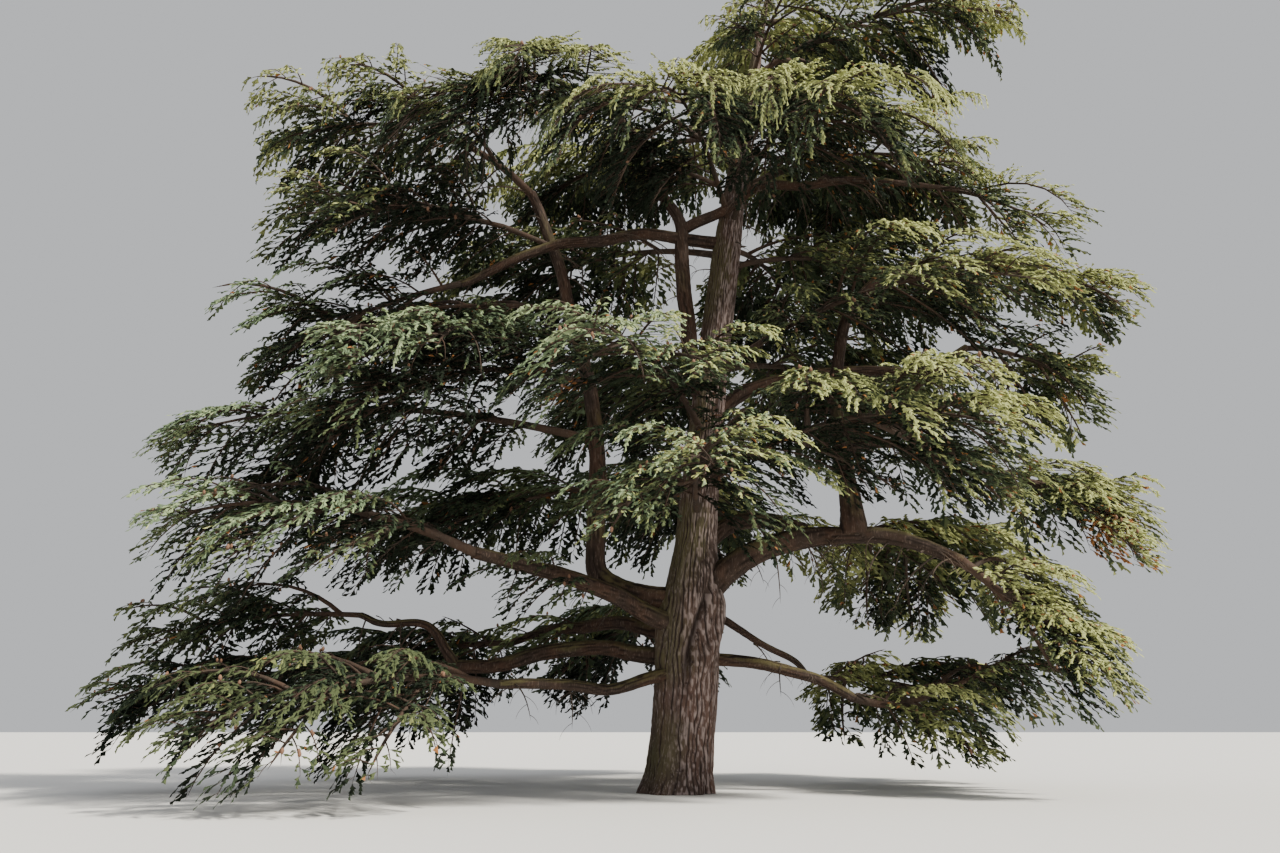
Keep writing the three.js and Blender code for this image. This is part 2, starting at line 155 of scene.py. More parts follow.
@dataclass(frozen=True)
class Mass:
    """One mass of foliage: its stem as for a bough, half its width and its bare share."""

    name: str
    on: str
    place: float
    heading: float
    length: float
    rises: tuple[float, float, float]
    turn: float
    half_width: float
    bare: float


BOUGHS = (
    Bough("right_bough", "trunk", 4.15, -14, 8.4, (70, 9, -28), 0, 0.38, 0.16),
    Bough("right_leader", "right_bough", 0.66, 10, 9.2, (90, 84, 4), -15, 0.21, 0.13),
    Bough("right_back_bough", "trunk", 6.1, 24, 5.6, (60, 4, -10), 10, 0.27, 0.15),
    Bough("right_mid_bough", "trunk", 9.9, 4, 8.6, (58, 5, 36), 0, 0.22, 0.1),
    Bough("right_side_bough", "right_leader", 0.27, 8, 4.2, (4, -10, -22), 0, 0.12, 0.08),
    Bough("low_right_bough", "trunk", 3.4, -2, 4.6, (6, -14, -30), 0, 0.17, 0.12),
    Bough("low_right_back_bough", "trunk", 4.9, 30, 4.4, (-22, -28, -20), 0, 0.12, 0.08),
    Bough("centre_leader", "trunk", 10.3, 218, 5.8, (58, 86, 86), 0, 0.25, 0.19),
    Bough("centre_left_arm", "centre_leader", 1, 205, 4.1, (56, 60, 50), 0, 0.16, 0.11),
    Bough("centre_right_arm", "centre_leader", 1, -22, 6.4, (36, 2, -12), 10, 0.16, 0.1),
    Bough("upper_left_bough", "trunk", 15.6, 188, 8.2, (6, -12, -36), 0, 0.2, 0.11),
    Bough("left_fork", "trunk", 4.9, 184, 2.9, (2, 14, 50), 0, 0.36, 0.3),
    Bough("left_leader", "left_fork", 1, 184, 11.8, (92, 80, 66), 0, 0.27, 0.14),
    Bough("front_left_bough", "trunk", 4.1, 208, 6.6, (24, 14, 6), 8, 0.28, 0.14),
    Bough("low_left_bough", "trunk", 3.3, 178, 9.0, (22, -10, 4), 0, 0.24, 0.13),
    Bough("low_left_arch", "low_left_bough", 0.7, 172, 3.4, (62, 26, 0), 0, 0.11, 0.08),
    Bough("low_front_bough", "trunk", 3.2, 216, 5.8, (-24, -2, -4), 0, 0.18, 0.11),
    Bough("back_bough", "trunk", 4.4, 100, 6.0, (40, 6, -10), 0, 0.28, 0.14),
    Bough("back_left_bough", "trunk", 3.9, 142, 7.0, (24, 0, -12), 0, 0.24, 0.12),
)

MASSES = {
    Layer.LOW: (
        Mass("low_left_foliage", "low_left_bough", 1, 182, 7.0, (4, -4, -22), 0, 3.1, 0.06),
        Mass("low_left_arch_foliage", "low_left_arch", 1, 174, 6.6, (4, -6, -20), -6, 2.8, 0.06),
        Mass("low_front_foliage", "low_front_bough", 1, 218, 7.4, (8, -10, -24), 0, 3.4, 0.06),
        Mass("low_right_foliage", "low_right_bough", 1, 0, 6.2, (-24, 22, -38), -6, 3.1, 0.05),
        Mass("low_right_back_foliage", "low_right_back_bough", 1, 34, 6.8, (0, -4, -20), 0, 3.4, 0.05),
        Mass("right_skirt_foliage", "right_bough", 1, -12, 3.6, (-36, -56, -70), 0, 3.1, 0.05),
        Mass("back_low_foliage", "back_bough", 1, 96, 7.2, (0, -8, -26), 0, 4.2, 0.05),
        Mass("back_left_low_foliage", "back_left_bough", 1, 148, 7.2, (2, -6, -24), 0, 4.2, 0.05),
    ),
    Layer.SECOND: (
        Mass("front_left_foliage", "front_left_bough", 1, 202, 7.4, (22, 4, -26), 0, 3.6, 0.05),
        Mass("front_low_foliage", "trunk", 7.3, 264, 8.8, (10, -2, -28), 10, 3.6, 0.16),
        Mass("right_back_foliage", "right_back_bough", 1, 38, 6.4, (8, -4, -24), 0, 4.2, 0.05),
        Mass("right_side_foliage", "right_side_bough", 1, -4, 3.7, (-8, -18, -40), 0, 3.1, 0.05),
        Mass("front_right_foliage", "trunk", 8.1, -54, 9.8, (18, 0, -28), 10, 4.0, 0.17),
        Mass("left_foliage", "left_leader", 0.32, 194, 11.4, (10, -2, -24), 0, 3.8, 0.14),
        Mass("back_left_foliage", "trunk", 7.6, 152, 11.0, (18, 2, -22), 0, 4.2, 0.24),
        Mass("back_foliage", "trunk", 8.0, 92, 10.2, (20, 4, -20), 0, 4.2, 0.22),
    ),
    Layer.THIRD: (
        Mass("front_mid_foliage", "trunk", 9.6, 250, 9.4, (20, 0, -24), 0, 4.1, 0.14),
        Mass("left_front_foliage", "left_leader", 0.46, 222, 8.6, (4, -20, -42), 0, 4.2, 0.1),
        Mass("right_mid_foliage", "right_mid_bough", 1, 4, 4.1, (4, -22, -42), 0, 3.4, 0.05),
        Mass("right_front_foliage", "trunk", 11.4, -40, 9.8, (24, 4, -26), 0, 4.0, 0.17),
        Mass("right_back_mid_foliage", "trunk", 11.6, 46, 10.6, (22, 4, -22), 0, 4.2, 0.23),
        Mass("back_mid_foliage", "trunk", 11.8, 112, 10.0, (22, 4, -22), 0, 4.2, 0.22),
        Mass("left_mid_foliage", "left_leader", 0.66, 176, 7.8, (8, -4, -28), 0, 3.4, 0.14),
    ),
    Layer.FOURTH: (
        Mass("upper_left_foliage", "upper_left_bough", 1, 184, 5.6, (-14, -26, -40), 0, 3.8, 0.05),
        Mass("left_high_foliage", "left_leader", 0.84, 202, 7.5, (16, -2, -30), 0, 4.0, 0.12),
        Mass("right_crest_foliage", "right_leader", 1, -6, 5.3, (-2, -14, -46), 0, 3.4, 0.05),
        Mass("centre_right_foliage", "centre_right_arm", 1, -14, 4.6, (-12, -24, -48), 0, 3.6, 0.05),
        Mass("right_far_foliage", "trunk", 14.8, 20, 8.8, (24, 0, -24), 0, 3.6, 0.2),
        Mass("back_right_high_foliage", "trunk", 15.4, 66, 9.6, (24, 4, -20), 0, 4.2, 0.2),
        Mass("back_left_high_foliage", "trunk", 15.2, 144, 10.4, (24, 4, -20), 0, 4.2, 0.22),
    ),
    Layer.FIFTH: (
        Mass("top_front_left_foliage", "centre_left_arm", 1, 226, 6.2, (8, -22, -62), 0, 4.2, 0.05),
        Mass("top_left_foliage", "left_leader", 1, 192, 8.2, (48, 6, -38), 0, 3.8, 0.12),
        Mass("top_mid_foliage", "trunk", 16.2, 252, 8.2, (24, 2, -50), 0, 3.8, 0.14),
        Mass("top_front_foliage", "trunk", 16.1, 286, 8.2, (26, 2, -52), 0, 3.8, 0.14),
        Mass("top_right_foliage", "trunk", 17.1, -14, 7.2, (30, 0, -40), 0, 3.8, 0.17),
        Mass("top_back_right_foliage", "trunk", 18.5, 48, 9.0, (28, 4, -22), 0, 4.2, 0.19),
        Mass("top_back_left_foliage", "trunk", 19.0, 140, 9.4, (28, 4, -22), 0, 4.2, 0.19),
    ),
    Layer.CREST: (
        Mass("crest_right_foliage", "trunk", 21.2, -16, 8.2, (34, 6, -28), 0, 3.6, 0.04),
        Mass("crest_back_foliage", "trunk", 23.2, 84, 7.2, (40, 6, -24), 0, 3.8, 0.04),
        Mass("crest_foliage", "trunk", 21.3, -76, 5.4, (34, 4, -34), 0, 3.3, 0.05),
    ),
}

LAYER_SLOTS = {
    Layer.LOW: "needles_deep", Layer.SECOND: "needles_deep",
    Layer.THIRD: "needles_green", Layer.FOURTH: "needles_green",
    Layer.FIFTH: "needles_light", Layer.CREST: "needles_light",
}


@dataclass(frozen=True)
class LeafyBough:
    """A bough that bears side branches itself: their mass, and their plate as for a mass."""

    bough: str
    mass: str
    bare: float
    half_width: float


@dataclass(frozen=True)
class BrownPatch:
    """A round patch of browned needles."""

    centre: tuple[float, float, float]
    radius: float


LEAFY_BOUGHS = (
    LeafyBough("right_side_bough", "right_side_foliage", 0.2, 2.4),
    LeafyBough("right_mid_bough", "right_mid_foliage", 0.5, 2.0),
    LeafyBough("centre_right_arm", "centre_right_foliage", 0.5, 2.0),
    LeafyBough("right_back_bough", "right_back_foliage", 0.5, 2.2),
    LeafyBough("front_left_bough", "front_left_foliage", 0.4, 2.0),
    LeafyBough("back_bough", "back_low_foliage", 0.45, 2.2),
    LeafyBough("back_left_bough", "back_left_low_foliage", 0.45, 2.2),
)

BROWN_PATCHES = (
    BrownPatch((-2.6, -0.6, 9.8), 1.1), BrownPatch((-2.9, -3.6, 9.3), 0.7),
    BrownPatch((-8.1, -5.0, 5.2), 0.5), BrownPatch((11.2, -1.2, 6.3), 0.8),
    BrownPatch((7.5, -2.5, 8.0), 0.45), BrownPatch((4.6, -2.2, 17.6), 0.5),
)

# Boughs that bare twigs hang thickly from
FRINGED = ("right_bough", "right_mid_bough", "low_left_arch", "left_fork", "centre_right_arm")

# How far above their stems the plates of these masses may rise
LOW_PLATES: dict[str, float] = {
    "centre_right_foliage": 0.15, "left_foliage": 0.3, "right_crest_foliage": 0.3,
    "crest_foliage": 0.3, "front_mid_foliage": 0.6, "top_front_left_foliage": 0.22,
    "top_mid_foliage": 0.3, "top_front_foliage": 0.3,
}

# How much more the branches of these masses hang at their tips, in degrees
HANG: dict[str, float] = {
    "right_skirt_foliage": 16, "right_side_foliage": 20, "front_right_foliage": 8,
    "right_mid_foliage": 12, "right_back_foliage": 8, "left_foliage": 18,
    "left_front_foliage": 20, "top_front_left_foliage": 34, "top_mid_foliage": 20,
    "top_front_foliage": 20, "centre_right_foliage": 12, "right_crest_foliage": 10,
}

# How much more moss these boughs bear
MOSSY: dict[str, float] = {
    "low_front_bough": 0.45, "low_left_bough": 0.2, "low_right_bough": 0.2, "left_fork": 0.1,
}

# Branches are marked on from these, so that no two of a mass share a chance number: branches
# added between the frame's own, and those of lesser stems, the trunk's tip and leafy boughs
EXTRA_MARK = 1000
LESSER_MARK = 5000
TIP_MARK = 60000
BOUGH_MARK = 80000


# Repeatable chance and smooth noise

# Large odd numbers for each mark and for the mix, and 32 bits
MARK_FACTORS = (374761393, 668265263, 2246822519, 3266489917)
MIX_FACTOR = np.uint64(1274126177)
WORD = np.uint64(0xFFFFFFFF)

# Cells along a limb are counted from this one
FIRST_CELL = 1000


def chance(*marks: Array | int) -> Array:
    """Repeatable numbers from 0 to 1, the frame's own rule for its first three marks.

    Each mark is multiplied by a large odd number and the products are mixed bit by bit.

    Args:
        marks: whole numbers or arrays of them, such as a mass, a branch and a use.

    Returns:
        An array of numbers from 0 to 1, one for each set of marks.
    """
    bits = np.zeros(np.broadcast_shapes(*(np.shape(mark) for mark in marks)), np.uint64)
    for mark, factor in zip(marks, MARK_FACTORS):
        product = (np.asarray(mark, np.int64).astype(np.uint64) + np.uint64(1)) * np.uint64(factor)
        bits = bits ^ (product & WORD)
    bits = ((bits ^ (bits >> np.uint64(13))) * MIX_FACTOR) & WORD
    bits = bits ^ (bits >> np.uint64(16))
    return bits.astype(np.float64) / 2.0 ** 32


def smooth_step(low: float, high: float, value: Array) -> Array:
    """Values eased from 0 at low to 1 at high."""
    share = np.clip((value - low) / (high - low), 0.0, 1.0)
    return share * share * (3.0 - 2.0 * share)


def band(start: float, full: float, fading: float, end: float, value: Array) -> Array:
    """Values eased from 0 at start to 1 at full, and from 1 at fading back to 0 at end."""
    return smooth_step(start, full, value) * (1 - smooth_step(fading, end, value))


def soft_noise(across: Array, along: Array, wrap: int, seed: int) -> Array:
    """Noise from -1 to 1 on a grid of unit cells that closes round the first axis.

    The value at each cell corner is a chance number, and cells are blended smoothly.

    Args:
        across: places round the limb, in cells.
        along: places along the limb, in cells.
        wrap: the number of cells round the limb.
        seed: tells one noise from another.

    Returns:
        The noise at each place.
    """
    left, low = np.floor(across), np.floor(along)
    u, v = smooth_step(0, 1, across - left), smooth_step(0, 1, along - low)
    left, low = left.astype(int), low.astype(int)

    def corner(right: int, up: int) -> Array:
        """The chance number at one corner of each place's cell."""
        return chance((left + right) % wrap, low + up + FIRST_CELL, seed)

    lower = corner(0, 0) * (1 - u) + corner(1, 0) * u
    upper = corner(0, 1) * (1 - u) + corner(1, 1) * u
    return 2 * (lower * (1 - v) + upper * v) - 1


@dataclass(frozen=True)
class Furrows:
    """The long furrows of bark: how they wander, close up and open, in ridges and ridge lengths."""

    wander: float = 0.62
    wander_cells: float = 1.6
    wobble: float = 0.25
    wobble_cells: int = 5
    closed_and_open: tuple[float, float] = (-0.75, 0.15)
    brim_and_bottom: tuple[float, float] = (0.45, 0.95)

    def depth(self, across: Array, along: Array, wrap: int, seed: int) -> Array:
        """How deep in a furrow each place is: 0 on a ridge of bark, 1 at a furrow's bottom.

        A furrow runs along the limb at each whole number of ridges. It wanders to the sides
        by a smooth noise, and another noise lets it close up and open again.

        Args:
            across: places round the limb, in ridges.
            along: places along the limb, in ridge lengths.
            wrap: the number of ridges round the limb.
            seed: tells one limb's pattern from another's.

        Returns:
            The depth at each place, from 0 to 1.
        """
        wander = self.wander * soft_noise(across / 2, along * self.wander_cells, max(wrap // 2, 1), seed)
        wobble = self.wobble * soft_noise(across, along * self.wobble_cells, wrap, seed + Noise.WOBBLE)
        place = across + (wander + wobble)
        near = 1 - 2 * np.abs(place - np.round(place))
        opening = soft_noise(np.round(place), along, wrap, seed + Noise.OPENING)
        return smooth_step(*self.brim_and_bottom, near) * smooth_step(*self.closed_and_open, opening)


# Paths

SIDE_NUDGE = 1e-3


def steps_towards(heading: Array, slope: Array) -> Array:
    """Unit steps along compass headings and slopes."""
    turn, rise = np.radians(heading), np.radians(slope)
    return np.stack((np.cos(turn) * np.cos(rise), np.sin(turn) * np.cos(rise), np.sin(rise)), -1)


def grow(root: Array, heading: Array, length: Array, rises: Array, turn: Array, steps: int) -> Array:
    """Grows many limbs at once, each in equal steps.

    The slope runs through the three rises at the root, middle and tip as a parabola, and
    the heading turns evenly.

    Args:
        root: the first point of each limb, (limbs, 3).
        heading: compass heading at each root.
        length: length of each limb.
        rises: three slopes for each limb, (limbs, 3).
        turn: how far each heading turns by the tip.
        steps: steps in a limb.

    Returns:
        The points of each limb, (limbs, steps + 1, 3).
    """
    root, rises = np.atleast_2d(root), np.atleast_2d(rises)
    share = (np.arange(steps) + 0.5) / steps
    slope = (rises[:, :1] * (2 * share - 1) * (share - 1)
             + rises[:, 1:2] * 4 * share * (1 - share) + rises[:, 2:] * share * (2 * share - 1))
    headings = np.reshape(heading, (-1, 1)) + np.reshape(turn, (-1, 1)) * share
    strides = steps_towards(headings, slope) * np.reshape(length, (-1, 1, 1)) / steps
    return np.concatenate((root[:, None], root[:, None] + np.cumsum(strides, 1)), 1)


def curve_at(paths: Array, row: Array, share: Array) -> tuple[Array, Array]:
    """Places and directions on the smooth curves through the points of paths.

    The curve is a Catmull-Rom one: cubic in each step, its slope at a point half the
    way between that point's two neighbours.

    Args:
        paths: points, (paths, points, 3).
        row: the path of each wanted place.
        share: the share of that path's length.

    Returns:
        The places and the unit directions there.
    """
    steps = paths.shape[1] - 1
    x = np.clip(share, 0, 1) * steps
    step = np.minimum(x.astype(int), steps - 1)
    f = (x - step)[:, None]
    start, end = paths[row, step], paths[row, step + 1]
    before = np.where((step > 0)[:, None], paths[row, np.maximum(step - 1, 0)], 2 * start - end)
    after = np.where((step < steps - 1)[:, None], paths[row, np.minimum(step + 2, steps)],
                     2 * end - start)
    out, into = (end - before) / 2, (after - start) / 2
    place = ((2 * f**3 - 3 * f**2 + 1) * start + (f**3 - 2 * f**2 + f) * out
             + (3 * f**2 - 2 * f**3) * end + (f**3 - f**2) * into)
    way = ((6 * f**2 - 6 * f) * start + (3 * f**2 - 4 * f + 1) * out
           + (6 * f - 6 * f**2) * end + (3 * f**2 - 2 * f) * into)
    return place, way / np.linalg.norm(way, axis=-1, keepdims=True)


def heading_of(way: Array) -> Array:
    """Compass headings of directions."""
    return np.degrees(np.arctan2(way[..., 1], way[..., 0]))


def places_along(paths: Array, shares: Array) -> Array:
    """Places on the smooth curve of each path.

    Args:
        paths: points, (paths, points, 3).
        shares: shares of the length, the same for every path or a row for each.

    Returns:
        The places, (paths, shares, 3).
    """
    shares = np.broadcast_to(shares, (len(paths), np.shape(shares)[-1]))
    rows = np.repeat(np.arange(len(paths)), shares.shape[1])
    return curve_at(paths, rows, shares.ravel())[0].reshape(*shares.shape, 3)


def counted(count: Array) -> tuple[Array, Array]:
    """Numbers so many things for each owner.

    Args:
        count: how many things each owner has.

    Returns:
        The owner of each thing, and its place among that owner's things.
    """
    owner = np.repeat(np.arange(len(count)), count)
    return owner, np.arange(len(owner)) - np.repeat(np.cumsum(count) - count, count)


def level_frames(way: Array) -> tuple[Array, Array]:
    """Directions square to ways: one level, and one as near to straight up as it goes.

    Args:
        way: unit directions, (..., 3). An upright one has no level side of its own, so
            every side is moved a hair along the first axis.

    Returns:
        The level sides and the upper sides.
    """
    side = np.cross(way, (0.0, 0.0, 1.0)) + np.array((SIDE_NUDGE, 0.0, 0.0))
    side /= np.linalg.norm(side, axis=-1, keepdims=True)
    return side, np.cross(side, way)


# Meshes


def mesh_piece(name: str, points: Array, faces: list[Array], tones: Array | None = None,
               smooth: bool = False, marks: dict[str, Array] | None = None) -> bpy.types.Object:
    """Makes one object of arrays of points and faces.

    Args:
        name: the piece's name.
        points: its corners, (points, 3).
        faces: arrays of faces of one size each, such as (faces, 3) and (faces, 4).
        tones: the material index of each face.
        smooth: whether the faces are shaded smoothly.
        marks: named numbers for each point, which the material reads.

    Returns:
        The object, linked to the scene.
    """
    mesh = bpy.data.meshes.new(name)
    sizes = np.concatenate([np.full(len(part), part.shape[1], np.int32) for part in faces])
    corners = np.concatenate([part.ravel() for part in faces]).astype(np.int32)
    mesh.vertices.add(len(points))
    mesh.vertices.foreach_set("co", np.ascontiguousarray(points, np.float32).ravel())
    mesh.loops.add(len(corners))
    mesh.loops.foreach_set("vertex_index", corners)
    mesh.polygons.add(len(sizes))
    starts = np.concatenate(([0], np.cumsum(sizes)[:-1])).astype(np.int32)
    mesh.polygons.foreach_set("loop_start", starts)
    if tones is not None:
        mesh.polygons.foreach_set("material_index", tones.astype(np.int32))
    mesh.update(calc_edges=True)
    if smooth:
        mesh.shade_smooth()
    else:
        mesh.shade_flat()
    for mark, values in (marks or {}).items():
        layer = mesh.attributes.new(mark, "FLOAT", "POINT")
        layer.data.foreach_set("value", values.astype(np.float32))
    mesh.validate()
    piece = bpy.data.objects.new(name, mesh)
    bpy.context.scene.collection.objects.link(piece)
    return piece


def dress(piece: bpy.types.Object, slot: str, nodes: list[str], *materials: bpy.types.Material) -> None:
    """Gives a piece its materials, and sets it on the tree's one body in place of nodes.

    Args:
        piece: the piece.
        slot: the name of its finish in the frame; it is not used.
        nodes: the frame's nodes that it replaces.
        materials: its materials, in the order of its faces' tones.
    """
    for material in materials:
        piece.data.materials.append(material)
    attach(piece, "root")
    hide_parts(*nodes)
    LOG.info("%s: %d faces for %d nodes", piece.name, len(piece.data.polygons), len(nodes))


def ring_steps(sides: int) -> tuple[Array, Array]:
    """The numbers of a ring's corners, and of the next corner round from each."""
    here = np.arange(sides)
    return here, (here + 1) % sides


def twig_mesh(paths: Array, radii: Array, sides: int) -> tuple[Array, list[Array]]:
    """Corners and faces of many closed twigs that end in a point.

    Each twig is a ring of corners round every point of its path but the last, which is
    its tip. The rings lie square to the path.

    Args:
        paths: points, (twigs, points, 3).
        radii: radius at each point, (twigs, points).
        sides: corners in a ring.

    Returns:
        The corners, and arrays of quads, tip triangles and root caps.
    """
    count, rings = paths.shape[0], paths.shape[1] - 1
    way = np.empty_like(paths)
    way[:, 1:-1] = paths[:, 2:] - paths[:, :-2]
    way[:, 0], way[:, -1] = paths[:, 1] - paths[:, 0], paths[:, -1] - paths[:, -2]
    way /= np.linalg.norm(way, axis=-1, keepdims=True)
    side, up = level_frames(way)
    turn = 2 * np.pi * np.arange(sides) / sides
    ring = np.cos(turn)[:, None] * side[:, :rings, None] + np.sin(turn)[:, None] * up[:, :rings, None]
    ring = paths[:, :rings, None] + radii[:, :rings, None, None] * ring
    corners = np.concatenate((ring.reshape(count, rings * sides, 3), paths[:, -1:]), 1)
    stride = rings * sides + 1
    base = (np.arange(count) * stride)[:, None, None]
    ring_start = (np.arange(rings - 1) * sides)[None, :, None]
    here, beyond = ring_steps(sides)
    quads = np.stack((base + ring_start + beyond, base + ring_start + here,
                      base + ring_start + sides + here, base + ring_start + sides + beyond), -1)
    last = base[:, 0] + (rings - 1) * sides
    tip = np.broadcast_to(base[:, 0] + rings * sides, (count, sides))
    tips = np.stack((last + beyond, last + here, tip), -1)
    caps = base[:, 0] + np.arange(sides)
    return corners.reshape(-1, 3), [quads.reshape(-1, 4), tips.reshape(-1, 3), caps]


def tube_faces(rings: int, sides: int) -> list[Array]:
    """Faces of a closed tube: its walls, and a fan of triangles on each end.

    Args:
        rings: rings of corners along the tube.
        sides: corners in a ring. The middles of the foot and the head are the two corners
            that follow the last ring's.

    Returns:
        Arrays of quads and of triangles.
    """
    base = (np.arange(rings - 1) * sides)[:, None]
    here, beyond = ring_steps(sides)
    quads = np.stack((base + here, base + sides + here, base + sides + beyond, base + beyond), -1)
    foot, head = rings * sides, rings * sides + 1
    last = (rings - 1) * sides
    caps = np.concatenate((np.stack((here, beyond, np.full(sides, foot)), -1),
                           np.stack((last + beyond, last + here, np.full(sides, head)), -1)))
    return [quads.reshape(-1, 4), caps]


def joined(parts: list[tuple[Array, list[Array]]]) -> tuple[Array, list[Array]]:
    """Joins several sets of corners and faces into one.

    Args:
        parts: the corners and the arrays of faces of each set.

    Returns:
        All the corners, and the arrays of faces that number them anew.
    """
    faces, start = [], 0
    for points, sets in parts:
        faces += [part + start for part in sets]
        start += len(points)
    return np.concatenate([points for points, _ in parts]), faces


@dataclass(frozen=True)
class Thickness:
    """How thick a kind of wood is: its root's radius grows with its length and tapers to a share."""

    least: float
    by_length: float
    tip_share: float
    sides: int

    def mesh(self, paths: Array, lengths: Array) -> tuple[Array, list[Array]]:
        """Corners and faces of this kind of wood along paths of the given lengths."""
        taper = np.linspace(1, self.tip_share, paths.shape[1])
        return twig_mesh(paths, (self.least + self.by_length * lengths)[:, None] * taper, self.sides)


LESSER_WOOD = Thickness(0.02, 0.014, 0.3, 6)
BRANCH_WOOD = Thickness(0.010, 0.009, 0.35, 3)
TWIG_WOOD = Thickness(0.003, 0.009, 1.0, 3)
DEAD_SIDE_WOOD = Thickness(0.009, 0.0, 0.4, 3)


# Finishes


@dataclass
class Shading:
    """One material while its nodes are added."""

    name: str

    def __post_init__(self) -> None:
        """Makes the material with its shader."""
        self.material = bpy.data.materials.new(self.name)
        self.material.use_nodes = True
        self.shader = self.material.node_tree.nodes["Principled BSDF"]

    def feed(self, node: bpy.types.Node, inputs: dict[str, object]) -> None:
        """Sets named inputs of a node.

        Args:
            node: the node.
            inputs: for each input a constant, or the socket that feeds it.
        """
        for name, value in inputs.items():
            if isinstance(value, bpy.types.NodeSocket):
                self.material.node_tree.links.new(value, node.inputs[name])
            else:
                node.inputs[name].default_value = value

    def add(self, kind: str, output: str, inputs: dict[str, object],
            **settings: str) -> bpy.types.NodeSocket:
        """Adds a node.

        Args:
            kind: its type.
            output: the output that is wanted of it.
            inputs: for each input a constant, or the socket that feeds it.
            settings: its other settings.

        Returns:
            The wanted output.
        """
        node = self.material.node_tree.nodes.new(kind)
        for name, value in settings.items():
            setattr(node, name, value)
        self.feed(node, inputs)
        return node.outputs[output]

    def grain(self, height: bpy.types.NodeSocket, strength: float, depth: float) -> None:
        """Lets a height stand out of the surface by so much."""
        inputs = {"Strength": strength, "Distance": depth, "Height": height}
        self.feed(self.shader, {"Normal": self.add("ShaderNodeBump", "Normal", inputs)})


@dataclass(frozen=True)
class PlainFinish:
    """One plain matt colour with a fine grain in its relief: a tone of needles, most of them painted
    sunlight and shade, or the cones.
    """

    name: str
    colour: Colour
    roughness: float = 0.8
    specular: float = 0.15
    grain_scale: float = 90.0
    grain_height: float = 0.25
    grain_depth: float = 0.01

    def material(self) -> bpy.types.Material:
        """Makes the material.

        Returns:
            The material.
        """
        shading = Shading(self.name)
        shading.feed(shading.shader, {"Base Color": (*self.colour, 1.0), "Roughness": self.roughness,
                                      "Specular IOR Level": self.specular})
        place = shading.add("ShaderNodeTexCoord", "Object", {})
        grain = shading.add("ShaderNodeTexNoise", "Fac", {"Scale": self.grain_scale, "Vector": place})
        shading.grain(grain, self.grain_height, self.grain_depth)
        return shading.material


@dataclass(frozen=True)
class BarkFinish:
    """Bark: ridges and fissures told apart by the piece's crack mark, with flakes and moss, pale flakes that
    are partly painted sunlight, and painted shade in the trunk's cleft.
    """

    name: str
    ridge: Colour
    ridge_red: Colour
    flake: Colour
    crack: Colour
    moss: Colour
    moss_share: float
    grain_scale: float
    roughness: float = 0.9
    specular: float = 0.2
    stretch: tuple[float, float, float] = (1.0, 1.0, 0.16)
    grain_detail: float = 8.0
    grain_height: float = 0.6
    grain_depth: float = 0.03
    patch_scale: float = 1.6
    patch_detail: float = 5.0
    patch_range: tuple[float, float] = (0.4, 0.62)
    flake_range: tuple[float, float] = (0.54, 0.68)
    flake_share: float = 0.9
    pale_share: float = 0.85

    def material(self) -> bpy.types.Material:
        """Makes the material: its colours laid one over the other by noises and marks.

        Returns:
            The material.
        """
        shading = Shading(self.name)
        place = shading.add("ShaderNodeTexCoord", "Object", {})
        drawn_out = shading.add("ShaderNodeMapping", "Vector", {"Scale": self.stretch, "Vector": place})

        def noise(scale: float, detail: float) -> bpy.types.NodeSocket:
            """A noise drawn out along the trunk."""
            inputs = {"Scale": scale, "Detail": detail, "Vector": drawn_out}
            return shading.add("ShaderNodeTexNoise", "Fac", inputs)

        def mark(name: str) -> bpy.types.NodeSocket:
            """A mark kept on the piece's corners."""
            return shading.add("ShaderNodeAttribute", "Fac", {}, attribute_name=name)

        def ranged(value: bpy.types.NodeSocket, low: float, high: float, top: float) -> bpy.types.NodeSocket:
            """A value carried from its range to one from 0 to a top."""
            inputs = {"From Min": low, "From Max": high, "To Max": top, "Value": value}
            return shading.add("ShaderNodeMapRange", "Result", inputs)

        def blend(factor: bpy.types.NodeSocket, under: bpy.types.NodeSocket | tuple[float, ...],
                  over: Colour) -> bpy.types.NodeSocket:
            """A colour laid over another by a factor."""
            inputs = {"Factor": factor, "A": under, "B": (*over, 1.0)}
            return shading.add("ShaderNodeMix", "Result", inputs, data_type="RGBA")

        grain = noise(self.grain_scale, self.grain_detail)
        patches = ranged(noise(self.patch_scale, self.patch_detail), *self.patch_range, 1.0)
        colour = blend(patches, (*self.ridge, 1.0), self.ridge_red)
        colour = blend(ranged(grain, *self.flake_range, self.flake_share), colour, self.flake)
        colour = blend(ranged(mark("moss"), 0.0, 1.0, self.moss_share), colour, self.moss)
        # Pale flakes on the trunk's plated side: partly its own flakes, partly painted sunlight on that side
        colour = blend(ranged(mark("pale"), 0.0, 1.0, self.pale_share), colour, self.flake)
        colour = blend(mark("crack"), colour, self.crack)
        shading.feed(shading.shader, {"Base Color": colour, "Roughness": self.roughness,
                                      "Specular IOR Level": self.specular})
        shading.grain(grain, self.grain_height, self.grain_depth)
        return shading.material


# The trunk's flake colour also paints the sunlit side of its plates
TRUNK_BARK = BarkFinish(
    "old_trunk_bark", ridge=(0.092, 0.064, 0.054), ridge_red=(0.125, 0.075, 0.06),
    flake=(0.36, 0.285, 0.265), crack=(0.022, 0.015, 0.013), moss=(0.095, 0.09, 0.04),
    moss_share=0.8, grain_scale=26.0)
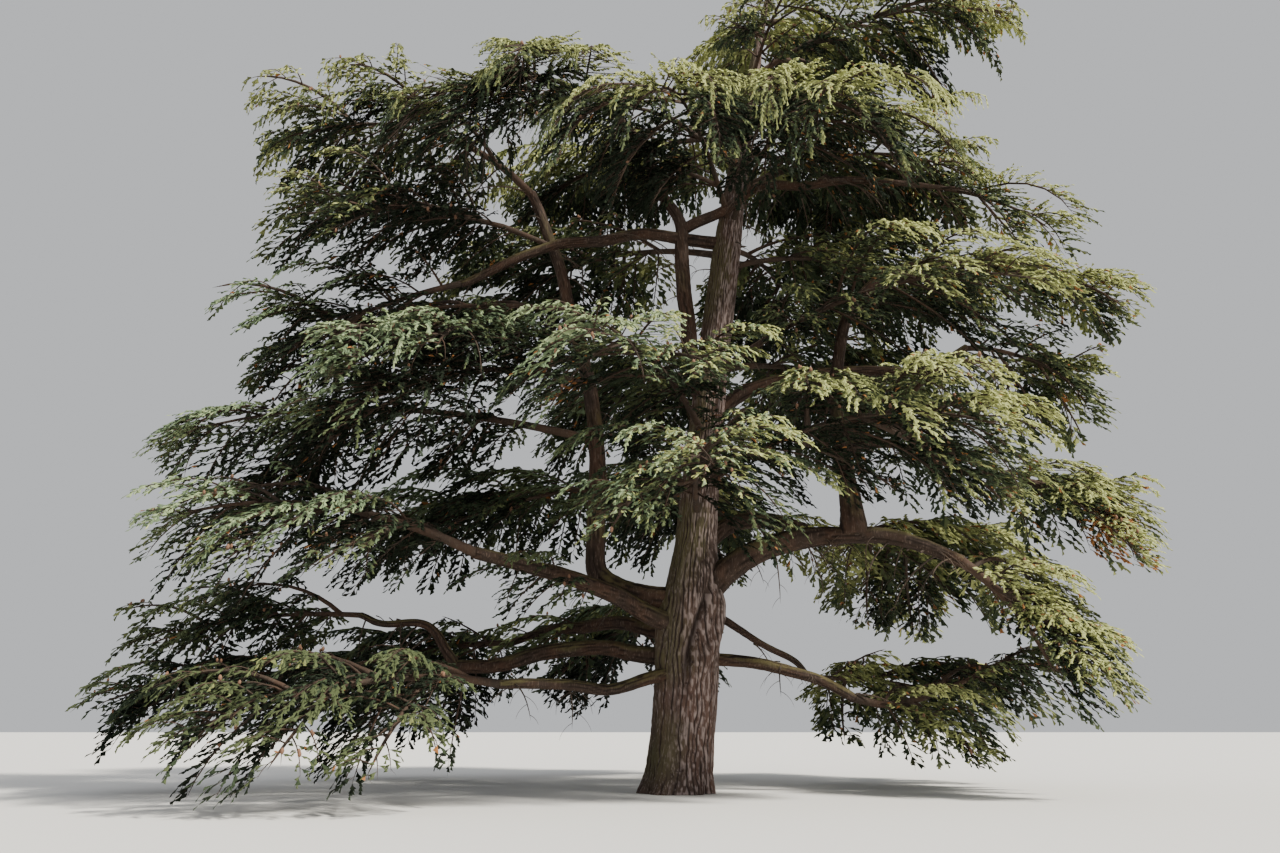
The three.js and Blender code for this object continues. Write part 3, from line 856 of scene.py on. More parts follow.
# Bough bark: a darker copy of the trunk's, with painted shade
SHADED_BOUGH_BARK = BarkFinish(
    "bough_bark", ridge=(0.048, 0.033, 0.026), ridge_red=(0.074, 0.042, 0.029),
    flake=(0.13, 0.092, 0.075), crack=(0.016, 0.011, 0.009), moss=(0.12, 0.11, 0.042),
    moss_share=0.65, grain_scale=30.0)
TWIG_BARK = BarkFinish(
    "twig_bark", ridge=(0.05, 0.037, 0.029), ridge_red=(0.075, 0.046, 0.033),
    flake=(0.09, 0.068, 0.054), crack=(0.02, 0.014, 0.011), moss=(0.08, 0.08, 0.04),
    moss_share=0.0, grain_scale=30.0)
# Dead wood: darkened with painted shade, so that it stays dark in the sun
SHADED_DEAD_BARK = BarkFinish(
    "dead_wood", ridge=(0.06, 0.046, 0.038), ridge_red=(0.085, 0.06, 0.045),
    flake=(0.17, 0.13, 0.1), crack=(0.05, 0.04, 0.03), moss=(0.1, 0.1, 0.05),
    moss_share=0.0, grain_scale=26.0)

CONE = PlainFinish("cones", (0.23, 0.13, 0.085), roughness=0.75, grain_scale=60.0, grain_height=0.8)
# Needle tones: lit and shaded copies of a green and of a silvery green, with painted sunlight and shade, and
# the rust of browned needles
NEEDLE_FINISHES = {
    Tone.LIME: PlainFinish("needles_lime", (0.42, 0.45, 0.18)),
    Tone.OLIVE: PlainFinish("needles_olive", (0.19, 0.21, 0.08)),
    Tone.GREY_GREEN: PlainFinish("needles_grey_green", (0.08, 0.1, 0.045)),
    Tone.BLUE_GREEN: PlainFinish("needles_blue_green", (0.036, 0.052, 0.028)),
    Tone.DEEP: PlainFinish("needles_deep_green", (0.012, 0.018, 0.01)),
    Tone.RUST: PlainFinish("needles_rust", (0.3, 0.13, 0.045)),
    Tone.SILVER: PlainFinish("needles_silver", (0.27, 0.335, 0.18)),
    Tone.SAGE: PlainFinish("needles_sage", (0.13, 0.18, 0.1)),
}


# The tree


@dataclass
class Skeleton:
    """The paths of the trunk, boughs and stems, as the frame lays them out."""

    trunk_height: float = 24.4
    lean: float = 0.055
    bend: float = 0.0029
    sway: float = 0.25
    sway_height: float = 5.0
    trunk_radii: tuple[tuple[float, float], ...] = (
        (0, 1.0), (0.5, 0.9), (1.3, 0.86), (3, 0.82), (5, 0.78), (6.5, 0.56),
        (10, 0.47), (15, 0.41), (20, 0.22), (24.4, 0.06),
    )
    steps: int = 8
    stem_sink: float = 0.06
    stem_by_length: float = 0.012
    stem_fit: float = 0.96
    stem_tip: float = 0.022
    paths: dict[str, Array] = field(default_factory=dict)

    def __post_init__(self) -> None:
        """Grows every bough on the limb it stands on."""
        for bough in BOUGHS:
            self.paths[bough.name] = self.path_of(bough)

    def trunk_point(self, height: Array) -> Array:
        """The trunk's middle: it leans, bends over further up, and sways.

        Args:
            height: heights on it.

        Returns:
            The middle at each, (heights, 3).
        """
        height = np.asarray(height, float)
        right = self.lean * height + self.bend * height**2
        return np.stack((right, self.sway * np.sin(height / self.sway_height), height), -1)

    def trunk_radius(self, height: Array) -> Array:
        """The trunk's radius at heights."""
        heights, radii = zip(*self.trunk_radii)
        return np.interp(height, heights, radii)

    def path_of(self, row: Bough | Mass) -> Array:
        """The points of a bough or of a mass's stem.

        Args:
            row: the bough or the mass. One that goes on from its limb's end starts a
                little inside it.

        Returns:
            Its points, (steps + 1, 3).
        """
        if row.on == "trunk":
            root = self.trunk_point(row.place)
        else:
            parent = self.paths[row.on]
            x = row.place * (len(parent) - 1)
            step = min(int(x), len(parent) - 2)
            root = parent[step] + (parent[step + 1] - parent[step]) * (x - step)
            if row.place == 1:
                way = parent[-1] - parent[-2]
                root = root - self.stem_sink * way / np.linalg.norm(way)
        return grow(root, row.heading, row.length, row.rises, row.turn, self.steps)[0]

    def parent_radius(self, row: Bough) -> float:
        """How thick the limb is that a bough stands on.

        Args:
            row: the bough.

        Returns:
            The limb's radius at the bough's root.
        """
        if row.on == "trunk":
            return float(self.trunk_radius(row.place))
        parent = next(bough for bough in BOUGHS if bough.name == row.on)
        return parent.root_radius + (parent.tip_radius - parent.root_radius) * row.place

    def stem_radii(self, mass: Mass) -> tuple[float, float]:
        """How thick a mass's stem is: by its length, and a little less than a bough it goes on from.

        Args:
            mass: the mass.

        Returns:
            The stem's radius at its root and at its tip.
        """
        tip = next((bough.tip_radius for bough in BOUGHS if bough.name == mass.on), 0.0)
        fitted = tip * self.stem_fit if mass.place == 1 else 0.0
        return max(self.stem_by_length * mass.length, fitted), self.stem_tip


@dataclass(frozen=True)
class BoughRoot:
    """A swelling of the trunk where a bough's root runs down it: heights, turns and size."""

    foot: float
    head: float
    foot_turn: float
    head_turn: float
    width: float
    rise: float
    foot_ease: float = 0.8
    head_ease: float = 0.9

    def height(self, turn: Array, up: Array) -> Array:
        """How far the root stands out: a bell across it, which turns round the trunk as it rises.

        Args:
            turn: turns round the trunk, in degrees.
            up: lengths up the trunk.

        Returns:
            The height of the swelling at each place.
        """
        middle = self.foot_turn + (self.head_turn - self.foot_turn) * smooth_step(self.foot, self.head, up)
        ends = band(self.foot - self.foot_ease, self.foot + self.foot_ease,
                    self.head, self.head + self.head_ease, up)
        return self.rise * ends * np.exp(-((turn - middle) / self.width) ** 2)


@dataclass(frozen=True)
class Cleft:
    """The cleft in the trunk between the roots of two big boughs, which winds as it rises and is darkened
    with painted shade.
    """

    turn: float = 103.0
    drift: float = 52.0
    drift_foot: float = 0.9
    width: float = 9.0
    foot: float = 1.9
    foot_ease: float = 1.6
    head: float = 5.8
    head_ease: float = 1.0
    wave: float = 4.0
    wave_rate: float = 1.7
    depth: float = 0.18
    darkness: float = 0.9

    def opening(self, turn: Array, up: Array) -> Array:
        """How open the cleft is: a bell across it, eased in at its foot and out at its head.

        Args:
            turn: turns round the trunk, in degrees.
            up: lengths up the trunk.

        Returns:
            The opening at each place, from 0 to 1.
        """
        middle = self.turn - self.drift * smooth_step(self.foot + self.drift_foot, self.head, up)
        aside = (turn - middle - self.wave * np.sin(up * self.wave_rate)) / self.width
        opening = np.exp(-aside**2) * smooth_step(self.foot, self.foot + self.foot_ease, up)
        return opening * (1 - smooth_step(self.head - self.head_ease, self.head, up))


@dataclass(frozen=True)
class BarkPattern:
    """The pattern of bark on every limb: ridges and furrows, breaks across them, flakes and moss."""

    furrows: Furrows = Furrows()
    ridge_width: float = 0.12
    girth_share: float = 0.8
    fewest_ridges: int = 6
    ridge_length: float = 1.1
    fine_length: float = 0.45
    fine_depth: float = 0.45
    break_length: float = 0.22
    break_range: tuple[float, float] = (0.8, 1.0)
    break_patch_length: float = 0.4
    break_patch_range: tuple[float, float] = (0.0, 0.7)
    break_depth: float = 0.3
    plate_break_depth: float = 0.6
    flake_length: float = 0.14
    flake_range: tuple[float, float] = (0.0, 0.4)
    moss_patches: int = 4
    moss_patch_length: float = 0.8
    moss_patch_weight: float = 0.6
    moss_range: tuple[float, float] = (0.1, 0.9)

    def ridges(self, radius: Array) -> int:
        """How many ridges stand round a limb of the given radii."""
        girth = 2 * math.pi * float(np.quantile(radius, self.girth_share))
        return max(self.fewest_ridges, round(girth / self.ridge_width))

    def cracks(self, u: Array, v: Array, ridges: int, plates: Array, seed: int) -> Array:
        """How deep in a crack each place is: in a long furrow, a finer one, or a break across.

        Args:
            u: shares of the way round.
            v: lengths along.
            ridges: ridges round the limb.
            plates: how much each turn round the limb bears plates, which breaks part.
            seed: tells one limb's bark from another's.

        Returns:
            The depth at each place, from 0 to 1.
        """
        main = self.furrows.depth(u * ridges, v / self.ridge_length, ridges, seed)
        fine = self.furrows.depth(u * ridges * 2 + 0.5, v / (self.fine_length * self.ridge_length),
                                  ridges * 2, seed + Noise.FINE_FURROWS)
        line = soft_noise(u * ridges, v / self.break_length, ridges, seed + Noise.BREAKS)
        patch = soft_noise(u * ridges, v / self.break_patch_length, ridges, seed + Noise.BREAK_PATCHES)
        broken = smooth_step(*self.break_range, 1 - np.abs(line)) \
            * smooth_step(*self.break_patch_range, patch)
        depth = self.break_depth + self.plate_break_depth * plates
        return np.maximum(np.maximum(main, self.fine_depth * fine), depth * broken)

    def flakes(self, u: Array, v: Array, ridges: int, seed: int) -> Array:
        """How far each place stands on a flake, from -1 to 1."""
        return soft_noise(u * ridges * 2, v / self.flake_length, ridges * 2, seed + Noise.FLAKES)

    def moss(self, u: Array, v: Array, facing: Array, more: float, seed: int) -> Array:
        """How mossy each place is: by how far it faces the moss's side, by patches, and so much more.

        Args:
            u: shares of the way round.
            v: lengths along.
            facing: how far each place faces the side where moss grows.
            more: how much more moss the whole limb bears.
            seed: tells one limb's moss from another's.

        Returns:
            The moss at each place, from 0 to 1.
        """
        patches = soft_noise(u * self.moss_patches, v / self.moss_patch_length, self.moss_patches,
                             seed + Noise.MOSS)
        return smooth_step(*self.moss_range, facing + self.moss_patch_weight * patches + more)


@dataclass
class BarkSkin:
    """The bark of trunk and boughs: rings along each limb, pushed in along the fissures."""

    skeleton: Skeleton
    pattern: BarkPattern = BarkPattern()
    trunk_seed: int = 11
    trunk_sides: int = 230
    trunk_rings: int = 410
    ring_spread: tuple[float, float] = (0.42, 0.58)
    trunk_relief: float = 0.035
    trunk_lumps: float = 0.04
    bough_seeds: tuple[int, int] = (31, 7)
    bough_sides: int = 28
    bough_ring_step: float = 0.085
    bough_relief: float = 0.03
    bough_lumps: float = 0.1
    lumps: int = 3
    lump_length: float = 1.3
    full_relief_radius: float = 0.3
    least_relief: float = 0.25
    flake_height: float = 0.3
    ridge_height: float = 0.5
    plate_turn: float = 0.5
    plate_range: tuple[float, float] = (-0.2, 0.6)
    moss_turn: float = 2.5
    trunk_moss: float = 0.75
    flare_lobes: int = 6
    lobe_sway: float = 0.4
    flare_depth: float = 0.07
    flare_height: float = 0.9
    foot_skew: float = 0.1
    bough_roots: tuple[BoughRoot, ...] = (
        BoughRoot(2.6, 4.7, 78.0, 22.0, 20.0, 0.17), BoughRoot(2.7, 4.6, 142.0, 166.0, 26.0, 0.15),
    )
    cleft: Cleft = Cleft()
    flutes: int = 5
    flute_length: float = 4.0
    flute_depth: float = 0.045
    flute_fade: float = 9.0
    collar: float = 1.0
    collar_length: float = 0.85
    thick_bough: float = 0.25
    wander: float = 0.026
    wander_length: float = 1.3
    wander_ends: float = 8.0
    wander_seeds: tuple[int, int] = (200, 3)
    ease_rings: int = 6

    def trunk(self) -> bpy.types.Object:
        """Makes the trunk's bark from the ground to the tip, its rings closer together low down.

        Returns:
            The piece.
        """
        share = np.arange(self.trunk_rings + 1) / self.trunk_rings
        even, crowded = self.ring_spread
        heights = self.skeleton.trunk_height * (even * share + crowded * share**2)
        middle = self.skeleton.trunk_point(heights)
        radius = self.skeleton.trunk_radius(heights)
        ways = np.tile((0.0, 0.0, 1.0), (len(heights), 1))
        points, faces, marks = self.skin(middle, ways, radius, self.trunk_sides, self.trunk_relief,
                                         seed=self.trunk_seed, spurs=True)
        points[:, 2] = np.maximum(points[:, 2], 0.0)
        piece = mesh_piece("trunk_bark", points, faces, smooth=True, marks=marks)
        dress(piece, "trunk_bark", ["trunk"], TRUNK_BARK.material())
        return piece

    def boughs(self) -> bpy.types.Object:
        """Makes the bark of every bough as one piece, with a collar round each bough's root.

        Returns:
            The piece.
        """
        parts, marks = [], []
        for number, chain in enumerate(self.chains()):
            pieces = [self.bough_middle(bough, number) for bough in chain]
            middle = np.concatenate([pieces[0]] + [piece[1:] for piece in pieces[1:]])
            radius = np.concatenate([np.linspace(bough.root_radius, bough.tip_radius, len(piece))[place > 0:]
                                     for place, (bough, piece) in enumerate(zip(chain, pieces))])
            middle, radius = eased(middle, self.ease_rings), eased(radius[:, None], self.ease_rings)[:, 0]
            ways = np.gradient(middle, axis=0)
            ways /= np.linalg.norm(ways, axis=1, keepdims=True)
            length = np.arange(len(middle)) * self.bough_ring_step
            inside = self.skeleton.parent_radius(chain[0])
            swell = np.exp(-np.maximum(length - inside, 0) / self.collar_length)
            share = self.collar * min(1, chain[0].root_radius / self.thick_bough)
            radius = radius * (1 + share * swell * (chain[0].place < 1))
            first, apart = self.bough_seeds
            points, faces, own = self.skin(middle, ways, radius, self.bough_sides, self.bough_relief,
                                           seed=first + apart * number,
                                           moss_more=MOSSY.get(chain[0].name, 0.0))
            parts.append((points, faces))
            marks.append(own)
        points, faces = joined(parts)
        marks = {mark: np.concatenate([own[mark] for own in marks]) for mark in marks[0]}
        piece = mesh_piece("bough_bark", points, faces, smooth=True, marks=marks)
        dress(piece, "bough_bark", [bough.name for bough in BOUGHS], SHADED_BOUGH_BARK.material())
        return piece

    def chains(self) -> list[list[Bough]]:
        """Puts each bough that goes on from another's end after it.

        Returns:
            The boughs in rows, each of which is one limb.
        """
        chains: list[list[Bough]] = []
        for bough in BOUGHS:
            before = [chain for chain in chains if bough.place == 1 and chain[-1].name == bough.on]
            if before:
                before[0].append(bough)
            else:
                chains.append([bough])
        return chains

    def bough_middle(self, bough: Bough, number: int) -> Array:
        """A bough's middle, its path led a little astray between its ends.

        Args:
            bough: the bough.
            number: its limb's number, which tells its noise from others'.

        Returns:
            A point for each ring.
        """
        share = np.linspace(0, 1, int(bough.length / self.bough_ring_step) + 1)
        middle = places_along(self.skeleton.paths[bough.name][None], share)[0]
        ease = self.wander / bough.root_radius * np.minimum(1, self.wander_ends * share * (1 - share))
        along = share * bough.length / self.wander_length
        first, apart = self.wander_seeds
        astray = [soft_noise(np.full(len(share), 0.5), along, 1, first + apart * number + axis)
                  for axis in range(3)]
        return middle + ease[:, None] * np.stack(astray, -1)

    def skin(self, middle: Array, ways: Array, radius: Array, sides: int, relief: float,
             seed: int, spurs: bool = False,
             moss_more: float = 0.0) -> tuple[Array, list[Array], dict[str, Array]]:
        """One closed limb of bark.

        The radius at an angle and a length is the limb's own with slow swellings, on the
        trunk with its flutes, spurs, bough roots and cleft too, less the depth of the
        cracks. The pattern is measured in ridges round the limb's mean girth and along.

        Args:
            middle: points along the limb, (rings, 3).
            ways: its direction at each.
            radius: its radius at each.
            sides: corners in a ring.
            relief: depth of the fissures.
            seed: tells one limb's bark from another's.
            spurs: whether it is the trunk, with its plates, spurs and cleft.
            moss_more: how much more of it is under moss.

        Returns:
            Corners, faces, and the crack, moss and pale marks of the corners; the pale mark is partly
            painted sunlight, and the crack mark holds the cleft's painted shade.
        """
        across_way = carried_frames(ways)
        up_way = np.cross(across_way, ways)
        length = np.concatenate(([0.0], np.cumsum(np.linalg.norm(np.diff(middle, axis=0), axis=1))))
        turn = 2 * np.pi * np.arange(sides) / sides
        u, v = np.meshgrid(turn / (2 * np.pi), length)
        ridges = self.pattern.ridges(radius)
        # The plated side of the trunk, where breaks part the bark and pale flakes stand as partly painted
        # sunlight
        plates = smooth_step(*self.plate_range, np.cos(turn - self.plate_turn)) if spurs else 0 * turn
        crack = self.pattern.cracks(u, v, ridges, plates, seed)
        flakes = self.pattern.flakes(u, v, ridges, seed)
        pale = plates * smooth_step(*self.pattern.flake_range, flakes) * (1 - crack)
        swelling = soft_noise(u * self.lumps, v / self.lump_length, self.lumps, seed + Noise.SWELLINGS)
        scale = radius[:, None] * (1 + (self.trunk_lumps if spurs else self.bough_lumps) * swelling)
        if spurs:
            scale = self.trunk_shape(scale, turn, u, v, swelling, seed)
            cleft = self.cleft.opening(np.degrees(turn), v)
            scale = scale - self.cleft.depth * cleft
            # Painted shade: the cleft's floor takes the dark crack colour
            crack = np.maximum(crack, self.cleft.darkness * cleft**2)
        thin = np.clip(radius[:, None] / self.full_relief_radius, self.least_relief, 1.0)
        scale = scale + relief * thin * (self.flake_height * flakes + self.ridge_height - crack)
        ring = np.cos(turn)[:, None] * across_way[:, None] + np.sin(turn)[:, None] * up_way[:, None]
        points = middle[:, None] + scale[..., None] * ring
        corners = np.concatenate((points.reshape(-1, 3), middle[:1], middle[-1:]))
        facing = np.where(spurs, self.trunk_moss * np.cos(turn - self.moss_turn), ring[..., 2])
        moss = self.pattern.moss(u, v, facing, moss_more, seed) * (1 - crack)
        ends = (0.0, 0.0)
        marks = {"crack": crack, "moss": moss, "pale": pale}
        marks = {mark: np.concatenate((values.ravel(), ends)) for mark, values in marks.items()}
        return corners, tube_faces(len(middle), sides), marks

    def trunk_shape(self, scale: Array, turn: Array, u: Array, v: Array, swelling: Array,
                    seed: int) -> Array:
        """The trunk's radius with what sets it apart from a bough.

        Broad flutes fade up the trunk. At its foot lobes stand out as root spurs, and the
        whole foot is wider on one side. The roots of big boughs run down it.

        Args:
            scale: the radius at each place.
            turn: turns round the trunk, in radians.
            u: shares of the way round.
            v: heights.
            swelling: the slow swellings, which the spurs sway with.
            seed: the trunk's own.

        Returns:
            The radius at each place.
        """
        flute = soft_noise(u * self.flutes, v / self.flute_length, self.flutes, seed + Noise.FLUTES)
        scale = scale * (1 + self.flute_depth * np.exp(-v / self.flute_fade) * flute)
        low = np.exp(-v / self.flare_height)
        lobes = np.cos(self.flare_lobes * (2 * np.pi * u + self.lobe_sway * swelling))
        scale = scale * (1 + self.flare_depth * low * lobes) - self.foot_skew * low * np.cos(turn)
        for root in self.bough_roots:
            scale = scale + root.height(np.degrees(turn), v)
        return scale


def eased(values: Array, reach: int) -> Array:
    """Smooths rows of numbers along a limb: each is the mean of those round it, and the ends stay.

    Args:
        values: the rows, (rings, numbers).
        reach: how many rows on each side count.

    Returns:
        As many rows.
    """
    weights = np.hanning(2 * reach + 3)[1:-1]
    weights /= weights.sum()
    start = 2 * values[:1] - values[reach:0:-1]
    end = 2 * values[-1:] - values[-2:-reach - 2:-1]
    padded = np.concatenate((start, values, end))
    return np.stack([np.convolve(column, weights, "valid") for column in padded.T], -1)


def carried_frames(ways: Array) -> Array:
    """Directions square to a path, each carried on from the last with no twist.

    Args:
        ways: the path's unit directions, (rings, 3).

    Returns:
        A unit direction for each ring.
    """
    upright = abs(ways[0][2]) > 0.9
    start = np.array((1.0, 0.0, 0.0)) if upright else np.array((0.0, 0.0, 1.0))
    frames = []
    for way in ways:
        side = frames[-1] if frames else start
        side = side - way * float(side @ way)
        frames.append(side / np.linalg.norm(side))
    return np.array(frames)


@dataclass
class Spaces:
    """Which mass each place of the crown belongs to: the one whose stem is nearest."""

    skeleton: Skeleton
    masses: list[Mass]
    stems: Array
    flatness: float = 2.0
    overlap: float = 0.12
    reach: float = 1.25
    samples: int = 24
    lift: float = 0.85
    crest_lift: float = 2.0
    lowest: float = 0.12

    def __post_init__(self) -> None:
        """Lays the points that hold each mass's space."""
        self.lifts = np.array([
            LOW_PLATES.get(mass.name, self.crest_lift if layer is Layer.CREST else self.lift)
            for layer in Layer for mass in MASSES[layer]])
        shares = np.array([np.linspace(mass.bare, 1, self.samples + 1) for mass in self.masses])
        self.points = places_along(self.stems, shares).reshape(-1, 3) * (1, 1, self.flatness)
        self.widths = np.array([mass.half_width for mass in self.masses])

    def keeps(self, places: Array, owner: Array, chunk: int = 8000) -> Array:
        """Whether places lie in their mass's own space, and clear of the ground and limbs.

        A place is in its mass's space when no other stem is much nearer, with heights
        counted for more than sideways distances, and when it is within the mass's reach
        and not too far above its stem.

        Args:
            places: the places, (places, 3).
            owner: the mass of each.
            chunk: how many are looked at in one go.

        Returns:
            Which places do.
        """
        kept = np.zeros(len(places), bool)
        for start in range(0, len(places), chunk):
            part = slice(start, start + chunk)
            here = (places[part] * (1, 1, self.flatness)).astype(np.float32)
            points = self.points.astype(np.float32)
            far = (here**2).sum(1)[:, None] + (points**2).sum(1) - 2 * here @ points.T
            far = np.sqrt(np.maximum(far, 0)).reshape(len(here), len(self.masses), -1)
            own = far[np.arange(len(here)), owner[part]]
            mine, nearest = own.min(1), owner[part] * (self.samples + 1) + own.argmin(1)
            above = (here[:, 2] - points[nearest, 2]) / self.flatness
            kept[part] = ((mine <= far.min(axis=(1, 2)) + self.overlap) & (above < self.lifts[owner[part]])
                          & (mine < self.reach * self.widths[owner[part]]))
        return kept & (places[:, 2] > self.lowest) & self.clear_of_limbs(places)

    def clear_of_limbs(self, places: Array, room: float = 0.05) -> Array:
        """Whether places lie outside the trunk and the boughs.

        Args:
            places: the places, (places, 3).
            room: how far from the trunk they keep.

        Returns:
            Which places do.
        """
        middle = self.skeleton.trunk_point(places[:, 2])
        wide = self.skeleton.trunk_radius(places[:, 2])
        wide = np.where(places[:, 2] > self.skeleton.trunk_height, -room, wide)
        clear = np.hypot(*(places - middle)[:, :2].T) > wide + room
        for bough in BOUGHS:
            path = self.skeleton.paths[bough.name]
            for start, end in zip(path[:-1], path[1:]):
                along = end - start
                share = np.clip((places - start) @ along / (along @ along), 0, 1)
                clear &= np.linalg.norm(places - start - share[:, None] * along, axis=1) > bough.root_radius
        return clear


@dataclass(frozen=True)
class Stem:
    """A limb that bears side branches, with the plate that they fill.

    Its row is the mass that its branches belong to, and no branch stands on its bare
    share. Its first mark tells its branches' chance numbers from those of other stems. It
    is drawn where it is a lesser stem: masses' own stems and boughs are drawn elsewhere.
    """

    row: int
    path: Array
    length: float
    bare: float
    half_width: float
    first_mark: int
    drawn: bool = False


@dataclass(frozen=True)
class Branches:
    """Side branches: the mass, the path and the length of each."""

    row: Array
    paths: Array
    length: Array


@dataclass(frozen=True)
class Twigs:
    """Twigs: the mass, the path and the length of each, and how high its plate's top is there."""

    row: Array
    paths: Array
    length: Array
    plate_top: Array


@dataclass(frozen=True)
class Sprays:
    """Sprays of needles: each one's place and shape, and what its tone depends on.

    The width is below 0 for a spray turned over from left to right. The share is its
    place along its twig, and the luck a chance number of its own.
    """

    row: Array
    root: Array
    way: Array
    length: Array
    width: Array
    roll: Array
    share: Array
    luck: Array
    plate_top: Array

    # One spray, a closed fan with a ridge: each corner's place along it, to the side and
    # above, in its length and width
    CORNERS = np.array(((0.0, 0.0, 0.02), (1.0, 0.5, -0.2), (0.8, -0.46, -0.22), (0.78, 0.0, 0.1)))
    FACES = np.array(((0, 2, 1), (1, 2, 3), (0, 1, 3), (0, 3, 2)))

    def chosen(self, which: Array) -> Sprays:
        """The sprays for which an array holds true."""
        return Sprays(*(getattr(self, part.name)[which] for part in fields(self)))

    def mesh(self) -> tuple[Array, Array]:
        """Corners and faces of the sprays.

        A spray is a closed fan that widens from the twig, with a ridge along its middle:
        each corner is so far along it, so far to a side and so far above, for its length
        and width. Every other one is turned over from left to right.

        Returns:
            Corners and triangles.
        """
        side, up = level_frames(self.way)
        roll = np.radians(self.roll)[:, None]
        side, up = side * np.cos(roll) + up * np.sin(roll), up * np.cos(roll) - side * np.sin(roll)
        along, across, above = self.CORNERS.T
        points = (self.root[:, None] + along[:, None] * (self.way * self.length[:, None])[:, None]
                  + across[:, None] * (side * self.width[:, None])[:, None]
                  + above[:, None] * (up * np.abs(self.width)[:, None])[:, None])
        faces = np.where((self.width > 0)[:, None, None], self.FACES, self.FACES[:, ::-1])
        faces = faces + (np.arange(len(self.root)) * len(self.CORNERS))[:, None, None]
        return points.reshape(-1, 3), faces.reshape(-1, 3)


@dataclass(frozen=True)
class LesserStemRule:
    """How lesser stems leave a mass's stem to both sides, rising or falling."""

    count: int = 5
    first: float = 0.35
    place_jitter: float = 0.5
    angle: float = 56.0
    angle_loss: float = 22.0
    angle_jitter: float = 20.0
    length: float = 1.2
    length_loss: float = 0.4
    length_jitter: float = 0.3
    rises: tuple[tuple[float, float, float], ...] = ((34, 6, -30), (-22, -26, -48), (10, -8, -36))
    rise_jitter: float = 12.0
    hang: tuple[float, float, float] = (0.5, 0.75, 1)
    bare: float = 0.1
    width: float = 0.42
    least: float = 0.8


@dataclass(frozen=True)
class TipRule:
    """How short stems leave the trunk's tip to all sides, shorter further up."""

    count: int = 7
    heights: tuple[float, float] = (22.4, 24.2)
    length: float = 1.5
    first: float = 1.1
    loss: float = 0.5
    turn: float = 137.5
    rises: tuple[float, float, float] = (40, 10, -30)


@dataclass(frozen=True)
class BranchRule:
    """How side branches leave a stem by turns to both sides: the frame's own, and more between them."""

    spacing: float = 0.66
    end: float = 0.74
    fewest: int = 2
    between: int = 3
    last_place: float = 0.985
    angle: float = 60.0
    angle_loss: float = 24.0
    angle_jitter: float = 16.0
    length_jitter: float = 0.3
    rises: tuple[tuple[float, float, float], ...] = (
        (4, -20, -54), (-26, -44, -68), (38, 2, -44),
    )
    turn: float = -14.0
    steepest_extra: float = 28.0
    steepest_crown: float = 12.0
    hang: tuple[float, float, float] = (0, 0.5, 1)
    hang_length: float = 0.013
    steps: int = 6
    shortest: float = 0.25
    trials: int = 9


@dataclass(frozen=True)
class TwigRule:
    """How twigs leave a side branch to both sides and droop."""

    spacing: float = 0.14
    fewest: int = 2
    places: tuple[float, float] = (0.1, 0.9)
    angle: float = 54.0
    angle_loss: float = 22.0
    angle_jitter: float = 22.0
    length: float = 0.3
    lengths: tuple[float, float] = (1.15, 0.7)
    luck: tuple[float, float] = (0.7, 0.6)
    length_range: tuple[float, float] = (0.22, 0.95)
    curtain: float = 0.032
    slope_share: float = 0.5
    rise: float = 8.0
    falls: tuple[float, float] = (-4.0, -18.0)
    droop: float = 30.0
    droop_jitter: float = 18.0
    top_droop: float = 30.0
    tip_droop: float = 1.2
    turn: float = 16.0
    plate_fall: float = 0.3


@dataclass(frozen=True)
class SprayRule:
    """How sprays stand along a twig and at its end: finer at the front than at the back."""

    spacing: float = 0.11
    fewest: int = 2
    places: tuple[float, float] = (0.06, 0.9)
    end: float = 0.97
    angle: float = 8.0
    angle_jitter: float = 30.0
    fall: float = 4.0
    fall_jitter: float = 26.0
    slopes: tuple[float, float] = (-84.0, 40.0)
    roll: float = 64.0
    length: tuple[float, float] = (0.17, 0.31)
    width: tuple[float, float] = (0.12, 0.22)
    taper: float = 0.55
    taper_power: float = 1.5
    finest: float = 0.74
    coarsest: float = 1.2
    finest_and_coarsest_depth: tuple[float, float] = (-5.0, 4.0)


@dataclass(frozen=True)
class ConeRule:
    """The cones: where they stand, and their rings' heights and widths for their length."""

    share: float = 0.2
    mark: int = 7
    places: tuple[float, float] = (0.35, 0.4)
    length: float = 0.105
    lengths: tuple[float, float] = (0.8, 0.5)
    lean: float = 0.25
    sides: int = 7
    heights: tuple[float, ...] = (0.25, 0.6, 0.88)
    widths: tuple[float, ...] = (0.27, 0.31, 0.17)


